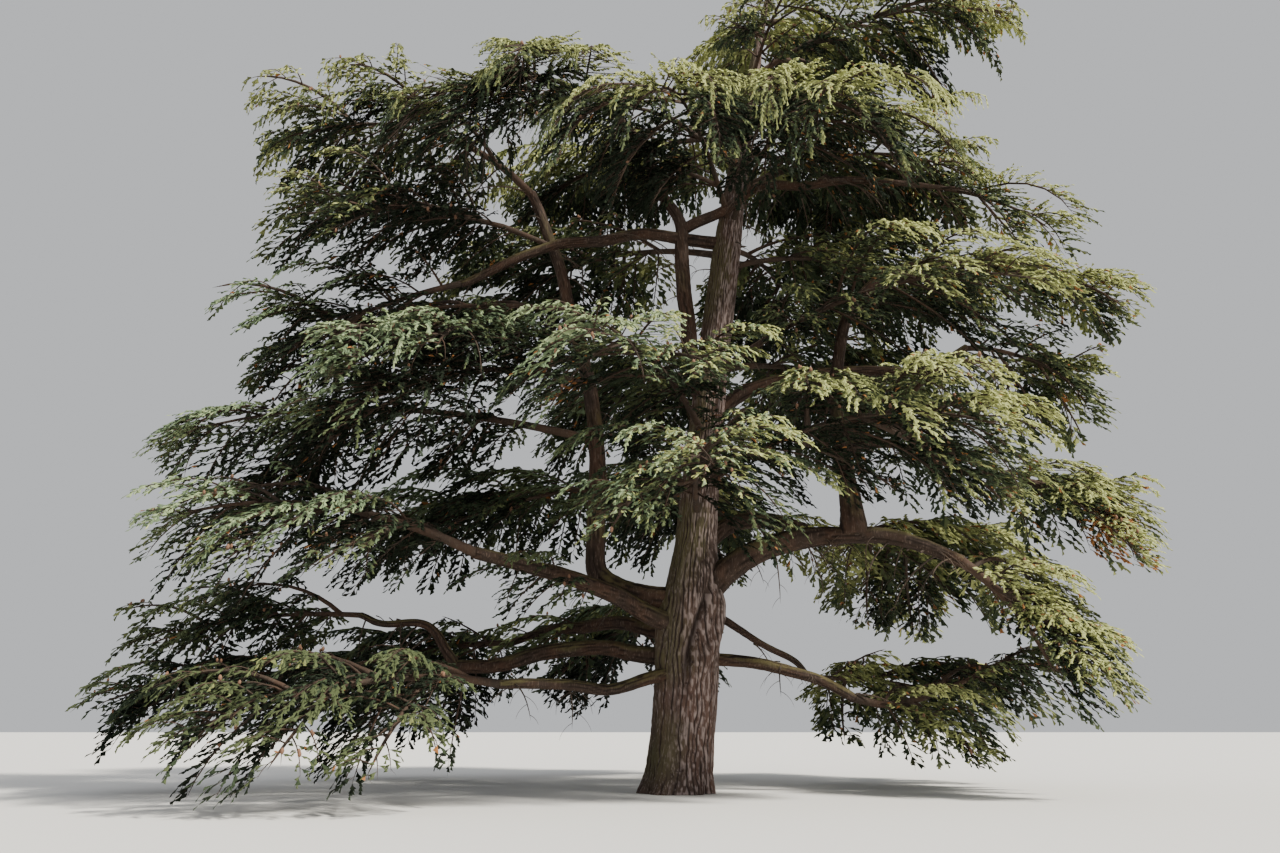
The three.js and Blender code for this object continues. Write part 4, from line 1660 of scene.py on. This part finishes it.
@dataclass(frozen=True)
class ToneRule:
    """How much light reaches each spray, and which tone of painted sunlight and shade it gets for that and
    for its place.
    """

    cell: float = 0.8
    rays: tuple[tuple[float, float, float], ...] = (
        (0, 0, 1), (0.6, -0.4, 0.7), (-0.7, 0, 0.7), (0, -0.8, 0.6), (0, 0.8, 0.6), (0.5, -0.6, 0.6),
        (0.3, -0.95, 0), (-0.6, -0.8, 0), (0.95, -0.3, 0), (-0.95, -0.3, 0),
    )
    ray_steps: int = 9
    dimming: float = 160.0
    plate_depth: float = 1.1
    # Weights of the painted sunlight and shade, and of a tone that differs at random
    open_weight: float = 0.5
    top_weight: float = 0.24
    tip_weight: float = 0.1
    luck_weight: float = 0.14
    high_light: float = 0.18
    high: tuple[float, float] = (1.5, 7.0)
    side_light: float = 0.13
    sides: tuple[float, float] = (-9.0, 9.0)
    front_light: float = 0.1
    front: tuple[float, float] = (-9.0, -4.0)
    low_light: float = 0.12
    low_right: tuple[float, float] = (3.0, 7.0)
    low_height: tuple[float, float] = (5.0, 9.0)
    shares: tuple[float, ...] = (0.1, 0.17, 0.22, 0.24)
    patch_luck: tuple[float, float] = (0.6, 0.8)
    brown_share: float = 0.002
    brown_more: float = 0.008
    brown_right: tuple[float, float] = (2.0, 9.0)
    dull_height: tuple[float, float] = (3.2, 2.4)
    dull_right: float = 3.0
    dull_luck: float = 0.35
    silver_left: tuple[float, float] = (-4.0, 5.0)
    silver_heights: tuple[float, float, float, float] = (3.0, 6.5, 12.0, 17.0)
    silver_luck: tuple[float, float] = (0.1, 0.8)

    def openness(self, root: Array) -> Array:
        """How much light reaches each spray, from near 0 deep in the crown to 1 outside.

        The crown's box is cut into cells that hold counts of sprays. Rays are stepped from
        each spray up and outwards, and the light along a ray falls by e for every so many
        sprays in the cells it crosses. The light is the mean over the rays.

        Args:
            root: where the sprays stand.

        Returns:
            The light at each.
        """
        low = root.min(0) - self.cell
        place = (root - low) / self.cell
        shape = tuple(np.ceil(place.max(0)).astype(int) + 2)
        cells = np.ravel_multi_index(tuple(place.astype(int).T), shape)
        filled = np.bincount(cells, minlength=int(np.prod(shape))).reshape(shape)
        light = np.zeros(len(place))
        for ray in self.rays:
            crossed = np.zeros(len(place))
            for step in range(1, self.ray_steps + 1):
                at = (place + step * np.array(ray)).astype(int)
                inside = ((at >= 0) & (at < shape)).all(1)
                crossed[inside] += filled[tuple(at[inside].T)]
            light += np.exp(-crossed / self.dimming) / len(self.rays)
        return light

    def scores(self, sprays: Sprays) -> Array:
        """How light each spray is by how it stands, by luck and by its place in the tree.

        It is painted lighter, as sunlit, in the open, near its plate's top and towards its twig's end, and
        for the most part higher up, on the right towards the sun, at the front and low down on the right.
        Deep in the crown and below its plate's top it is painted darker, as shaded, and its luck adds tone
        that differs at random.

        Args:
            sprays: the sprays.

        Returns:
            The score of each.
        """
        under = np.clip((sprays.plate_top - sprays.root[:, 2]) / self.plate_depth, 0, 1)
        light = self.openness(sprays.root)
        light = np.argsort(np.argsort(light)) / len(light)
        x, y, z = sprays.root.T
        score = self.open_weight * light + self.top_weight * (1 - under) \
            + self.tip_weight * sprays.share + self.luck_weight * sprays.luck
        score = score + self.high_light * smooth_step(*self.high, z) \
            + self.side_light * smooth_step(*self.sides, x)
        score = score - self.front_light * smooth_step(*self.front, y)
        return score + self.low_light * smooth_step(*self.low_right, x) \
            * (1 - smooth_step(*self.low_height, z))

    def tones(self, sprays: Sprays) -> Array:
        """Which tone each spray has.

        The score deals out the tones from the lightest to the deepest, painted sunlight to painted shade.
        Then patches and single sprays turn brown; light tones are darkened with painted shade on the
        lowest plates but those on the right, and turn silvery on the left at middle heights.

        Args:
            sprays: the sprays.

        Returns:
            The number of each one's tone.
        """
        score = self.scores(sprays)
        x, _, z = sprays.root.T
        # Painted sunlight and shade: the highest scores get the lit tones, the lowest the deepest shade
        tone = np.digitize(-score, -np.quantile(score, 1 - np.cumsum(self.shares)))
        least, more = self.patch_luck
        for patch in BROWN_PATCHES:
            far = np.linalg.norm(sprays.root - patch.centre, axis=1)
            tone[far < patch.radius * (least + more * sprays.luck)] = Tone.RUST
        browned = self.brown_share + self.brown_more * smooth_step(*self.brown_right, x)
        tone[np.abs(sprays.luck - 0.5) < browned] = Tone.RUST
        # Painted shade on the lowest plates but those on the right: light tones turn a step darker
        least, more = self.dull_height
        low = (z < least + more * sprays.luck) & (x < self.dull_right)
        tone[low & (tone == Tone.OLIVE) & (sprays.luck > self.dull_luck)] = Tone.GREY_GREEN
        tone[low & (tone == Tone.LIME)] = Tone.OLIVE
        least, more = self.silver_luck
        left = 1 - smooth_step(*self.silver_left, x)
        silvery = left * band(*self.silver_heights, z) > least + more * sprays.luck
        tone[silvery & (tone == Tone.LIME)] = Tone.SILVER
        tone[silvery & (tone == Tone.OLIVE)] = Tone.SAGE
        return tone


@dataclass
class Foliage:
    """Every mass grown from its stem: side branches, twigs on them, and sprays of needles."""

    skeleton: Skeleton
    box: Array
    beyond: float = 0.25
    lesser: LesserStemRule = LesserStemRule()
    tip: TipRule = TipRule()
    branch: BranchRule = BranchRule()
    twig: TwigRule = TwigRule()
    spray: SprayRule = SprayRule()
    cone: ConeRule = ConeRule()
    tone: ToneRule = ToneRule()
    stem_sides: int = 8
    stem_points: int = 19
    stem_taper: float = 0.8
    piece_triangles: int = 150000

    def __post_init__(self) -> None:
        """Lines up the masses in the frame's order and grows what they bear."""
        self.masses = [mass for layer in Layer for mass in MASSES[layer]]
        self.names = [mass.name for mass in self.masses]
        self.hang = np.array([HANG.get(name, 0) for name in self.names], float)
        self.stems = np.array([self.skeleton.path_of(mass) for mass in self.masses])
        self.spaces = Spaces(self.skeleton, self.masses, self.stems)
        self.limbs = self.all_stems()
        self.branches = self.grown_branches()
        self.twigs = self.grown_twigs()
        self.sprays = self.grown_sprays()

    def rows_of(self, layer: Layer) -> list[int]:
        """The rows of a layer's masses."""
        return [self.masses.index(mass) for mass in MASSES[layer]]

    def all_stems(self) -> list[Stem]:
        """Lists every limb that bears side branches.

        Returns:
            The masses' own stems, those round the trunk's tip, the leafy boughs and the
            lesser stems.
        """
        own = [Stem(row, path, mass.length, mass.bare, mass.half_width, 0)
               for row, (mass, path) in enumerate(zip(self.masses, self.stems))]
        lengths = {bough.name: bough.length for bough in BOUGHS}
        boughs = [Stem(self.names.index(leafy.mass), self.skeleton.paths[leafy.bough], lengths[leafy.bough],
                       leafy.bare, leafy.half_width, BOUGH_MARK + EXTRA_MARK * place)
                  for place, leafy in enumerate(LEAFY_BOUGHS)]
        return own + self.tip_stems() + boughs + self.lesser_stems()

    def tip_stems(self) -> list[Stem]:
        """Grows the stems round the trunk's tip, owned by the crest's highest mass.

        Returns:
            The stems.
        """
        rule = self.tip
        row = max(self.rows_of(Layer.CREST), key=lambda one: self.masses[one].place)
        order = np.arange(rule.count)
        height = np.linspace(*rule.heights, rule.count)
        length = rule.length * (rule.first - rule.loss * order / rule.count)
        paths = grow(self.skeleton.trunk_point(height), rule.turn * order, length,
                     np.tile(rule.rises, (rule.count, 1)), 0, self.skeleton.steps)
        return [Stem(row, path, size, self.lesser.bare, self.lesser.width * size,
                     TIP_MARK + EXTRA_MARK * place, drawn=True)
                for place, path, size in zip(order, paths, length)]

    def lesser_stems(self) -> list[Stem]:
        """Grows the lesser stems of every mass.

        Returns:
            Those that are long enough to bear side branches.
        """
        rule = self.lesser
        rows = np.repeat(np.arange(len(self.masses)), rule.count)
        order = np.tile(np.arange(rule.count), len(self.masses))
        bare = np.array([mass.bare for mass in self.masses])[rows]
        width = np.array([mass.half_width for mass in self.masses])[rows]
        luck = [chance(rows, order, Draw.LESSER_STEM + use) - 0.5 for use in range(4)]
        leafy = (order + rule.first + rule.place_jitter * luck[0]) / rule.count * self.branch.end
        root, way = curve_at(self.stems, rows, bare + (1 - bare) * leafy)
        side = np.where((order + rows) % 2, 1, -1)
        angle = rule.angle - rule.angle_loss * leafy + rule.angle_jitter * luck[1]
        length = width * (rule.length - rule.length_loss * leafy) * (1 + rule.length_jitter * luck[2])
        rises = np.array(rule.rises)[(order // 2 + order) % len(rule.rises)]
        rises = rises + rule.rise_jitter * luck[3][:, None] - self.hang[rows][:, None] * rule.hang
        paths = grow(root, heading_of(way) + side * angle, length, rises, side * self.branch.turn,
                     self.skeleton.steps)
        paths, kept = self.trimmed(paths, rows)
        return [Stem(row, path, size, rule.bare, rule.width * size, LESSER_MARK * (place + 1), drawn=True)
                for row, place, path, size in zip(rows, order, paths, length * kept) if size > rule.least]

    def grown_branches(self) -> Branches:
        """Grows the side branches of every stem.

        Branches between the frame's own rise no more than so steeply, and those of the
        fifth layer still less. Those of hanging masses fall more towards their tips.

        Returns:
            The branches that find room.
        """
        rule = self.branch
        columns = []
        for number, stem in enumerate(self.limbs):
            count = max(round((rule.end - stem.bare) * stem.length / rule.spacing), rule.fewest)
            step = (rule.end - stem.bare) / count
            index = np.arange(int((1 - stem.bare) / step * rule.between) + 1)
            branch, extra = index // rule.between, index % rule.between
            share = stem.bare + step * (branch + 0.5 + extra / rule.between)
            columns.append(np.stack((
                np.full(len(index), number), np.full(len(index), stem.row),
                stem.first_mark + branch + EXTRA_MARK * extra, np.where((branch + extra) % 2, 1, -1),
                share, (share - stem.bare) / (1 - stem.bare)))[:, share < rule.last_place])
        *whole, share, leafy = np.concatenate(columns, 1)
        limb, row, mark, side = (column.astype(int) for column in whole)
        width = np.array([stem.half_width for stem in self.limbs])[limb]
        root, way = curve_at(np.array([stem.path for stem in self.limbs]), limb, share)
        jitter = chance(row, mark, Draw.BRANCH_ANGLE) - 0.5
        angle = rule.angle - rule.angle_loss * leafy + rule.angle_jitter * jitter
        luck = chance(row, mark, Draw.BRANCH_LENGTH) - 0.5
        length = width * plate_width(leafy) * (1 + rule.length_jitter * luck)
        crown = np.isin(row, self.rows_of(Layer.FIFTH))
        length = length * (1 + rule.hang_length * self.hang[row] * crown)
        tier = (mark % EXTRA_MARK // 2 + mark // EXTRA_MARK) % len(rule.rises)
        rises = np.array(rule.rises)[tier]
        rises = rises + rule.angle_jitter * (chance(row, mark, Draw.BRANCH_RISE) - 0.5)[:, None]
        rises = np.where((mark >= EXTRA_MARK)[:, None], np.minimum(rises, rule.steepest_extra), rises)
        rises = np.where(crown[:, None], np.minimum(rises, rule.steepest_crown), rises)
        rises = rises - self.hang[row][:, None] * rule.hang
        paths = grow(root, heading_of(way) + side * angle, length, rises, side * rule.turn, rule.steps)
        paths, kept = self.trimmed(paths, row)
        good = kept > rule.shortest
        return Branches(row[good], paths[good], (length * kept)[good])

    def trimmed(self, paths: Array, row: Array) -> tuple[Array, Array]:
        """Cuts each branch where it first leaves its mass's space or the frame's box.

        Args:
            paths: points of the branches, (branches, points, 3).
            row: the mass of each.

        Returns:
            The paths cut short, with as many points, and the share kept of each.
        """
        shares = np.linspace(self.branch.shortest, 1, self.branch.trials)
        places = places_along(paths, shares).reshape(-1, 3)
        fit = self.spaces.keeps(places, np.repeat(row, len(shares))) & self.within(places)
        run = np.cumprod(fit.reshape(len(paths), -1), 1).sum(1)
        kept = np.where(run > 0, shares[np.maximum(run - 1, 0)], 0)
        return places_along(paths, kept[:, None] * np.linspace(0, 1, paths.shape[1])), kept

    def grown_twigs(self) -> Twigs:
        """Grows twigs to both sides of every branch, which droop more towards its end.

        Returns:
            The twigs that find room.
        """
        rule, branches = self.twig, self.branches
        count = np.maximum((branches.length / rule.spacing).astype(int), rule.fewest)
        branch, order = counted(count)
        row = branches.row[branch]
        first, run = rule.places
        share = first + run * (order + 0.5) / count[branch]
        root, way = curve_at(branches.paths, branch, share)
        side = np.where(order % 2, 1, -1)
        luck = [chance(branch, order, Draw.TWIG + use) for use in range(3)]
        angle = rule.angle - rule.angle_loss * share + rule.angle_jitter * (luck[0] - 0.5)
        whole, loss = rule.lengths
        least, more = rule.luck
        length = rule.length * branches.length[branch] * (whole - loss * share) * (least + more * luck[1])
        length = np.clip(length, *rule.length_range) * (1 + rule.curtain * self.hang[row])
        high = np.isin(row, self.rows_of(Layer.FIFTH) + self.rows_of(Layer.CREST))
        droop = rule.droop * share + rule.droop_jitter * (luck[2] - 0.5) + rule.top_droop * high * share
        slope = np.degrees(np.arcsin(way[:, 2]))
        middle, tip = rule.falls
        rises = np.stack((slope * rule.slope_share + rule.rise, middle - droop,
                          tip - rule.tip_droop * droop), -1)
        paths = grow(root, heading_of(way) + side * angle, length, rises, -side * rule.turn, 2)
        good = self.spaces.keeps(paths[:, 1], row) & self.within(paths[:, 2])
        foot = branches.paths[branch, 0][good]
        out = np.linalg.norm(paths[good][:, 0, :2] - foot[:, :2], axis=1)
        return Twigs(row[good], paths[good], length[good], foot[:, 2] - rule.plate_fall * out)

    def grown_sprays(self) -> Sprays:
        """Sets a spray at each step along the twigs, and one at each twig's end.

        Returns:
            The sprays that find room.
        """
        rule, twigs = self.spray, self.twigs
        near = 1 - smooth_step(*rule.finest_and_coarsest_depth, twigs.paths[:, 0, 1])
        scale = rule.coarsest - (rule.coarsest - rule.finest) * near
        count = np.maximum((twigs.length / rule.spacing / scale).astype(int), rule.fewest) + 1
        twig, order = counted(count)
        last = order == count[twig] - 1
        first, run = rule.places
        share = np.where(last, rule.end, first + run * (order + 0.5) / count[twig])
        root, way = curve_at(twigs.paths, twig, share)
        luck = [chance(twig, order, Draw.SPRAY + use) for use in range(6)]
        side = np.where(order % 2, 1, -1)
        angle = np.where(last, 0, side * (rule.angle + rule.angle_jitter * (luck[0] - 0.5)))
        slope = np.degrees(np.arcsin(np.clip(way[:, 2], -1, 1)))
        pitch = np.clip(slope - rule.fall - rule.fall_jitter * (luck[1] - 0.5), *rule.slopes)
        way = steps_towards(heading_of(way) + angle, pitch)
        low, high = rule.length
        length = scale[twig] * (low + (high - low) * luck[2])
        low, high = rule.width
        width = side * scale[twig] * (low + (high - low) * luck[5])
        width *= 1 - rule.taper * share**rule.taper_power
        sprays = Sprays(twigs.row[twig], root, way, length, width, rule.roll * (luck[3] - 0.5), share,
                        luck[4], twigs.plate_top[twig])
        tips = root + way * length[:, None]
        return sprays.chosen(self.spaces.keeps(tips, sprays.row) & self.within(tips))

    def within(self, places: Array) -> Array:
        """Whether places lie in the frame's box, let out a little sideways.

        Args:
            places: the places, (places, 3).

        Returns:
            Which places do.
        """
        low, high = self.box
        room = np.array((self.beyond, self.beyond, 0.0))
        return ((places > low - room) & (places < high + room)).all(1)

    def needles(self) -> list[bpy.types.Object]:
        """Makes the sprays of each layer, as pieces that hold whole masses and stay small.

        Returns:
            The pieces.
        """
        materials = [NEEDLE_FINISHES[tone].material() for tone in Tone]
        tones = self.tone.tones(self.sprays)
        sides = len(Sprays.FACES)
        counts = np.bincount(self.sprays.row, minlength=len(self.masses))
        pieces = []
        for layer in Layer:
            rows = self.rows_of(layer)
            parts = math.ceil(sum(counts[rows]) * sides / self.piece_triangles)
            for part in range(parts):
                own = rows[part::parts]
                chosen = np.isin(self.sprays.row, own)
                points, faces = self.sprays.chosen(chosen).mesh()
                piece = mesh_piece(f"needles_{layer.value}_{part + 1}", points, [faces],
                                   np.repeat(tones[chosen], sides))
                dress(piece, LAYER_SLOTS[layer], [self.names[row] for row in own], *materials)
                pieces.append(piece)
        return pieces

    def cones(self) -> bpy.types.Object:
        """Makes the upright barrel-shaped cones that stand by twos on some of the branches.

        A cone's corners lie on rings up its axis, each ring as wide as a barrel is there,
        between a point at its foot and one at its head.

        Returns:
            The piece.
        """
        rule, paths = self.cone, self.branches.paths
        branch = np.flatnonzero(chance(np.arange(len(paths)), rule.mark, Draw.CONE) < rule.share)
        branch = np.repeat(branch, 2)
        order = np.tile((0, 1), len(branch) // 2)
        first, run = rule.places
        foot, _ = curve_at(paths, branch, first + run * chance(branch, order, Draw.CONE_PLACE))
        least, more = rule.lengths
        size = rule.length * (least + more * chance(branch, order, Draw.CONE_SIZE))
        luck = np.stack([chance(branch, order, Draw.CONE_LEAN + use) for use in range(2)], -1)
        axis = np.concatenate((rule.lean * (luck - 0.5), np.ones((len(branch), 1))), 1) * size[:, None]
        turn = 2 * np.pi * np.arange(rule.sides) / rule.sides
        around = np.stack((np.cos(turn), np.sin(turn), 0 * turn), -1)
        rings = [foot[:, None] + height * axis[:, None] + width * size[:, None, None] * around
                 for height, width in zip(rule.heights, rule.widths)]
        points = np.concatenate([foot[:, None], *rings, (foot + axis)[:, None]], 1)
        here, beyond = (1 + corners for corners in ring_steps(rule.sides))
        top = 1 + len(rings) * rule.sides
        last = (len(rings) - 1) * rule.sides
        ends = np.concatenate((np.stack((beyond, here, 0 * here), -1),
                               np.stack((here + last, beyond + last, 0 * here + top), -1)))
        wall = np.stack((here, beyond, beyond + rule.sides, here + rule.sides), -1)
        walls = np.concatenate([wall + ring * rule.sides for ring in range(len(rings) - 1)])
        start = (np.arange(len(branch)) * (top + 1))[:, None, None]
        piece = mesh_piece("cones", points.reshape(-1, 3),
                           [(ends + start).reshape(-1, 3), (walls + start).reshape(-1, 4)], smooth=True)
        dress(piece, "needles_light", self.names, CONE.material())
        return piece

    def wood(self) -> list[bpy.types.Object]:
        """Makes the stems and side branches as one piece, and the twigs as another.

        Returns:
            The two pieces.
        """
        share = np.linspace(0, 1, self.stem_points)
        ends = np.array([self.skeleton.stem_radii(mass) for mass in self.masses])
        radii = ends[:, :1] + (ends[:, 1:] - ends[:, :1]) * share**self.stem_taper
        stems = twig_mesh(places_along(self.stems, share), radii, self.stem_sides)
        drawn = [stem for stem in self.limbs if stem.drawn]
        lesser = LESSER_WOOD.mesh(np.array([stem.path for stem in drawn]),
                                  np.array([stem.length for stem in drawn]))
        branches = BRANCH_WOOD.mesh(self.branches.paths, self.branches.length)
        twigs = TWIG_WOOD.mesh(self.twigs.paths[:, ::2], self.twigs.length)
        material = TWIG_BARK.material()
        pieces = []
        for name, parts in (("branches", [stems, lesser, branches]), ("twigs", [twigs])):
            points, faces = joined(parts)
            piece = mesh_piece(name, points, faces, smooth=True, marks={"crack": np.zeros(len(points))})
            dress(piece, "bough_bark", self.names, material)
            pieces.append(piece)
        return pieces


PLATE_START, PLATE_LEAN, PLATE_FULLNESS = 0.15, 0.9, 0.7


def plate_width(share: Array) -> Array:
    """How wide a plate of foliage is along its stem, the frame's own rule.

    Its outline is the bow of a sine, begun a little way along so that the root is
    blunt, and filled out by a power below 1.

    Args:
        share: shares of the stem's leafy part.

    Returns:
        Shares of the plate's greatest width.
    """
    bow = np.sin(np.pi * (PLATE_START + (1 - PLATE_START) * np.clip(share, 0, 1) ** PLATE_LEAN))
    return bow ** PLATE_FULLNESS


@dataclass
class DeadWood:
    """Bare twigs and broken stubs that hang on the trunk and boughs inside the crown."""

    skeleton: Skeleton
    mark: int = 5
    trunk_mark: int = 99
    spacing: float = 0.8
    fringe_spacing: float = 0.3
    places: tuple[float, float] = (0.3, 0.7)
    trunk_twigs: int = 26
    trunk_foot: float = 9.0
    trunk_run: float = 10.0
    steps: int = 6
    stub_share: float = 0.3
    stub_lengths: tuple[float, float] = (0.12, 0.2)
    twig_lengths: tuple[float, float] = (0.5, 1.5)
    rise_jitter: float = 30.0
    rise_middle: float = 0.4
    fringe_fall: float = 20.0
    falls: tuple[float, float] = (26.0, 58.0)
    turn: float = 40.0
    clear_height: float = 8.0
    clear_room: float = 2.4
    stub_radius: float = 0.035
    twig_radii: tuple[float, float] = (0.011, 0.01)
    tip_share: float = 0.3
    sides: int = 5
    side_twigs: int = 4
    side_bearer: float = 0.8
    side_places: tuple[float, float] = (0.3, 0.2)
    side_angle: float = 50.0
    side_angle_jitter: float = 40.0
    side_lengths: tuple[float, float] = (0.2, 0.25)
    side_rises: tuple[float, float, float] = (-20.0, -45.0, -75.0)

    def build(self) -> bpy.types.Object:
        """Makes every bare twig and stub as one piece.

        A twig bends down from level to steep along its length and tapers to a point. A
        stub is a twig cut to a short thick peg. Low down near the trunk there are none.

        Returns:
            The piece.
        """
        root, heading, size, hangs = self.roots()
        index = np.arange(len(root))
        stub = chance(index, self.mark, Draw.DEAD_STUB) < self.stub_share
        luck = chance(index, self.mark, Draw.DEAD_LENGTH)
        least, more = self.twig_lengths
        twig = least + more * luck ** (2 - hangs)
        least, more = self.stub_lengths
        length = size + np.where(stub, least + more * luck, twig)
        jitter = chance(index, self.mark, Draw.DEAD_RISE) - self.rise_middle
        level = self.rise_jitter * jitter - self.fringe_fall * hangs
        rises = np.stack([level - np.where(stub, 0, fall) for fall in (0, *self.falls)], -1)
        turn = self.turn * (chance(index, self.mark, Draw.DEAD_TURN) - 0.5)
        paths = grow(root, heading, length, rises, turn, self.steps)
        tip = paths[:, -1]
        far = np.linalg.norm(tip[:, :2] - self.skeleton.trunk_point(tip[:, 2])[:, :2], axis=1)
        clear = (tip[:, 2] > self.clear_height) | (far > self.clear_room)
        paths, stub, length, heading = paths[clear], stub[clear], length[clear], heading[clear]
        least, more = self.twig_radii
        thick = np.where(stub, self.stub_radius, least + more * length)[:, None]
        radii = thick * np.where(stub[:, None], 1.0, np.linspace(1, self.tip_share, self.steps + 1))
        bearers = np.flatnonzero(~stub & (length > self.side_bearer))
        points, faces = joined([twig_mesh(paths, radii, self.sides),
                                self.side_twig_mesh(paths, heading, length, bearers)])
        piece = mesh_piece("dead_twigs", points, faces, smooth=True, marks={"crack": np.zeros(len(points))})
        dress(piece, "bough_bark", ["trunk"] + [bough.name for bough in BOUGHS], SHADED_DEAD_BARK.material())
        return piece

    def roots(self) -> tuple[Array, Array, Array, Array]:
        """Places the twigs' roots along the boughs, closer together where they hang, and up the trunk.

        Returns:
            The roots, the headings, the limb's radius at each, and 1 for those that hang.
        """
        rows = []
        first, run = self.places
        for number, bough in enumerate(BOUGHS):
            hangs = bough.name in FRINGED
            index = np.arange(int(bough.length / (self.fringe_spacing if hangs else self.spacing)))
            share = first + run * (index + chance(index, number, Draw.DEAD_PLACE)) / len(index)
            place, way = curve_at(self.skeleton.paths[bough.name][None], 0 * index, share)
            heading = heading_of(way) + 360 * chance(index, number, Draw.DEAD_HEADING)
            rows.append((place, heading, np.full(len(index), bough.tip_radius), 0 * share + hangs))
        index = np.arange(self.trunk_twigs)
        luck = chance(index, self.trunk_mark, Draw.DEAD_PLACE)
        height = self.trunk_foot + self.trunk_run * (index + luck) / self.trunk_twigs
        heading = 360 * chance(index, self.trunk_mark, Draw.DEAD_HEADING)
        rows.append((self.skeleton.trunk_point(height), heading, self.skeleton.trunk_radius(height),
                     0 * height))
        root, heading, size, hangs = (np.concatenate(column) for column in zip(*rows))
        return root, heading, size, hangs

    def side_twig_mesh(self, paths: Array, heading: Array, length: Array,
                       bearers: Array) -> tuple[Array, list[Array]]:
        """Grows short steep twigs to both sides of the longer bare ones.

        Args:
            paths: points of all the bare twigs.
            heading: their headings.
            length: their lengths.
            bearers: which of them bear side twigs.

        Returns:
            Corners and faces.
        """
        row = np.repeat(bearers, self.side_twigs)
        order = np.arange(len(row)) % self.side_twigs
        first, apart = self.side_places
        place, _ = curve_at(paths, row, first + apart * order)
        jitter = self.side_angle_jitter * (chance(row, order, Draw.DEAD_SIDE_HEADING) - 0.5)
        outward = heading[row] + np.where(order % 2, self.side_angle, -self.side_angle) + jitter
        rises = np.tile(self.side_rises, (len(row), 1))
        least, more = self.side_lengths
        size = length[row] * (least + more * chance(row, order, Draw.DEAD_SIDE_LENGTH))
        return DEAD_SIDE_WOOD.mesh(grow(place, outward, size, rises, 0.0 * outward, self.steps), size)


@dataclass(frozen=True)
class Studio:
    """A plain pale floor, soft light and the camera at the photograph's own place."""

    camera_place: tuple[float, float, float] = (-1.07, -28.3, 1.6)
    camera_pitch: float = 16.3
    focal_pixels: float = 1033.0
    picture_width: float = 1280.0
    sensor_width: float = 36.0
    clip_end: float = 2000.0
    floor_size: float = 900.0
    floor_colour: Colour = (0.8, 0.79, 0.77)
    floor_roughness: float = 0.95
    sky_colour: Colour = (0.95, 0.97, 1.0)
    sky_strength: float = 0.64
    sun_colour: Colour = (1.0, 0.95, 0.84)
    sun_strength: float = 7.0
    sun_turn: tuple[float, float, float] = (46.0, 0.0, 56.0)
    sun_softness: float = 6.0

    def build(self) -> None:
        """Makes the floor, the lights and the camera."""
        self.floor()
        self.sky()
        self.sun()
        self.camera()

    def floor(self) -> None:
        """Makes the floor."""
        half = self.floor_size / 2
        corners = np.array(((-half, -half, 0), (half, -half, 0), (half, half, 0), (-half, half, 0)))
        floor = mesh_piece("floor", corners, [np.array(((0, 1, 2, 3),))])
        shading = Shading("pale_floor")
        shading.feed(shading.shader, {"Base Color": (*self.floor_colour, 1.0),
                                      "Roughness": self.floor_roughness})
        floor.data.materials.append(shading.material)
        floor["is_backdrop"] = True
        LOG.info("%s: %g metres across", floor.name, self.floor_size)

    def sky(self) -> None:
        """Makes the even light from all sides."""
        world = bpy.data.worlds.new("studio")
        world.use_nodes = True
        background = world.node_tree.nodes["Background"]
        background.inputs["Color"].default_value = (*self.sky_colour, 1.0)
        background.inputs["Strength"].default_value = self.sky_strength
        bpy.context.scene.world = world

    def sun(self) -> None:
        """Makes the soft sun from the front, high on the right."""
        light = bpy.data.lights.new("key_light", "SUN")
        light.energy, light.color = self.sun_strength, self.sun_colour
        light.angle = math.radians(self.sun_softness)
        lamp = bpy.data.objects.new("key_light", light)
        lamp.rotation_euler = tuple(math.radians(angle) for angle in self.sun_turn)
        bpy.context.scene.collection.objects.link(lamp)

    def camera(self) -> None:
        """Makes the camera, whose lens follows from the photograph's focal length in pixels."""
        camera = bpy.data.cameras.new("camera")
        camera.lens = self.focal_pixels * self.sensor_width / self.picture_width
        camera.sensor_width = self.sensor_width
        camera.clip_end = self.clip_end
        viewer = bpy.data.objects.new("camera", camera)
        viewer.location = self.camera_place
        viewer.rotation_euler = (math.radians(90 + self.camera_pitch), 0.0, 0.0)
        bpy.context.scene.collection.objects.link(viewer)
        bpy.context.scene.camera = viewer


def main() -> None:
    """Builds the tree and its studio in order."""
    logging.basicConfig(level=logging.INFO, format="%(message)s")
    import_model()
    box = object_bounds()
    skeleton = Skeleton()
    bark = BarkSkin(skeleton)
    bark.trunk()
    bark.boughs()
    DeadWood(skeleton).build()
    foliage = Foliage(skeleton, np.array([tuple(corner) for corner in box]))
    LOG.info("%d branches, %d twigs, %d sprays", len(foliage.branches.row), len(foliage.twigs.row),
             len(foliage.sprays.row))
    foliage.wood()
    foliage.needles()
    foliage.cones()
    Studio().build()
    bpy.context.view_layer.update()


if __name__ == "__main__":
    main()
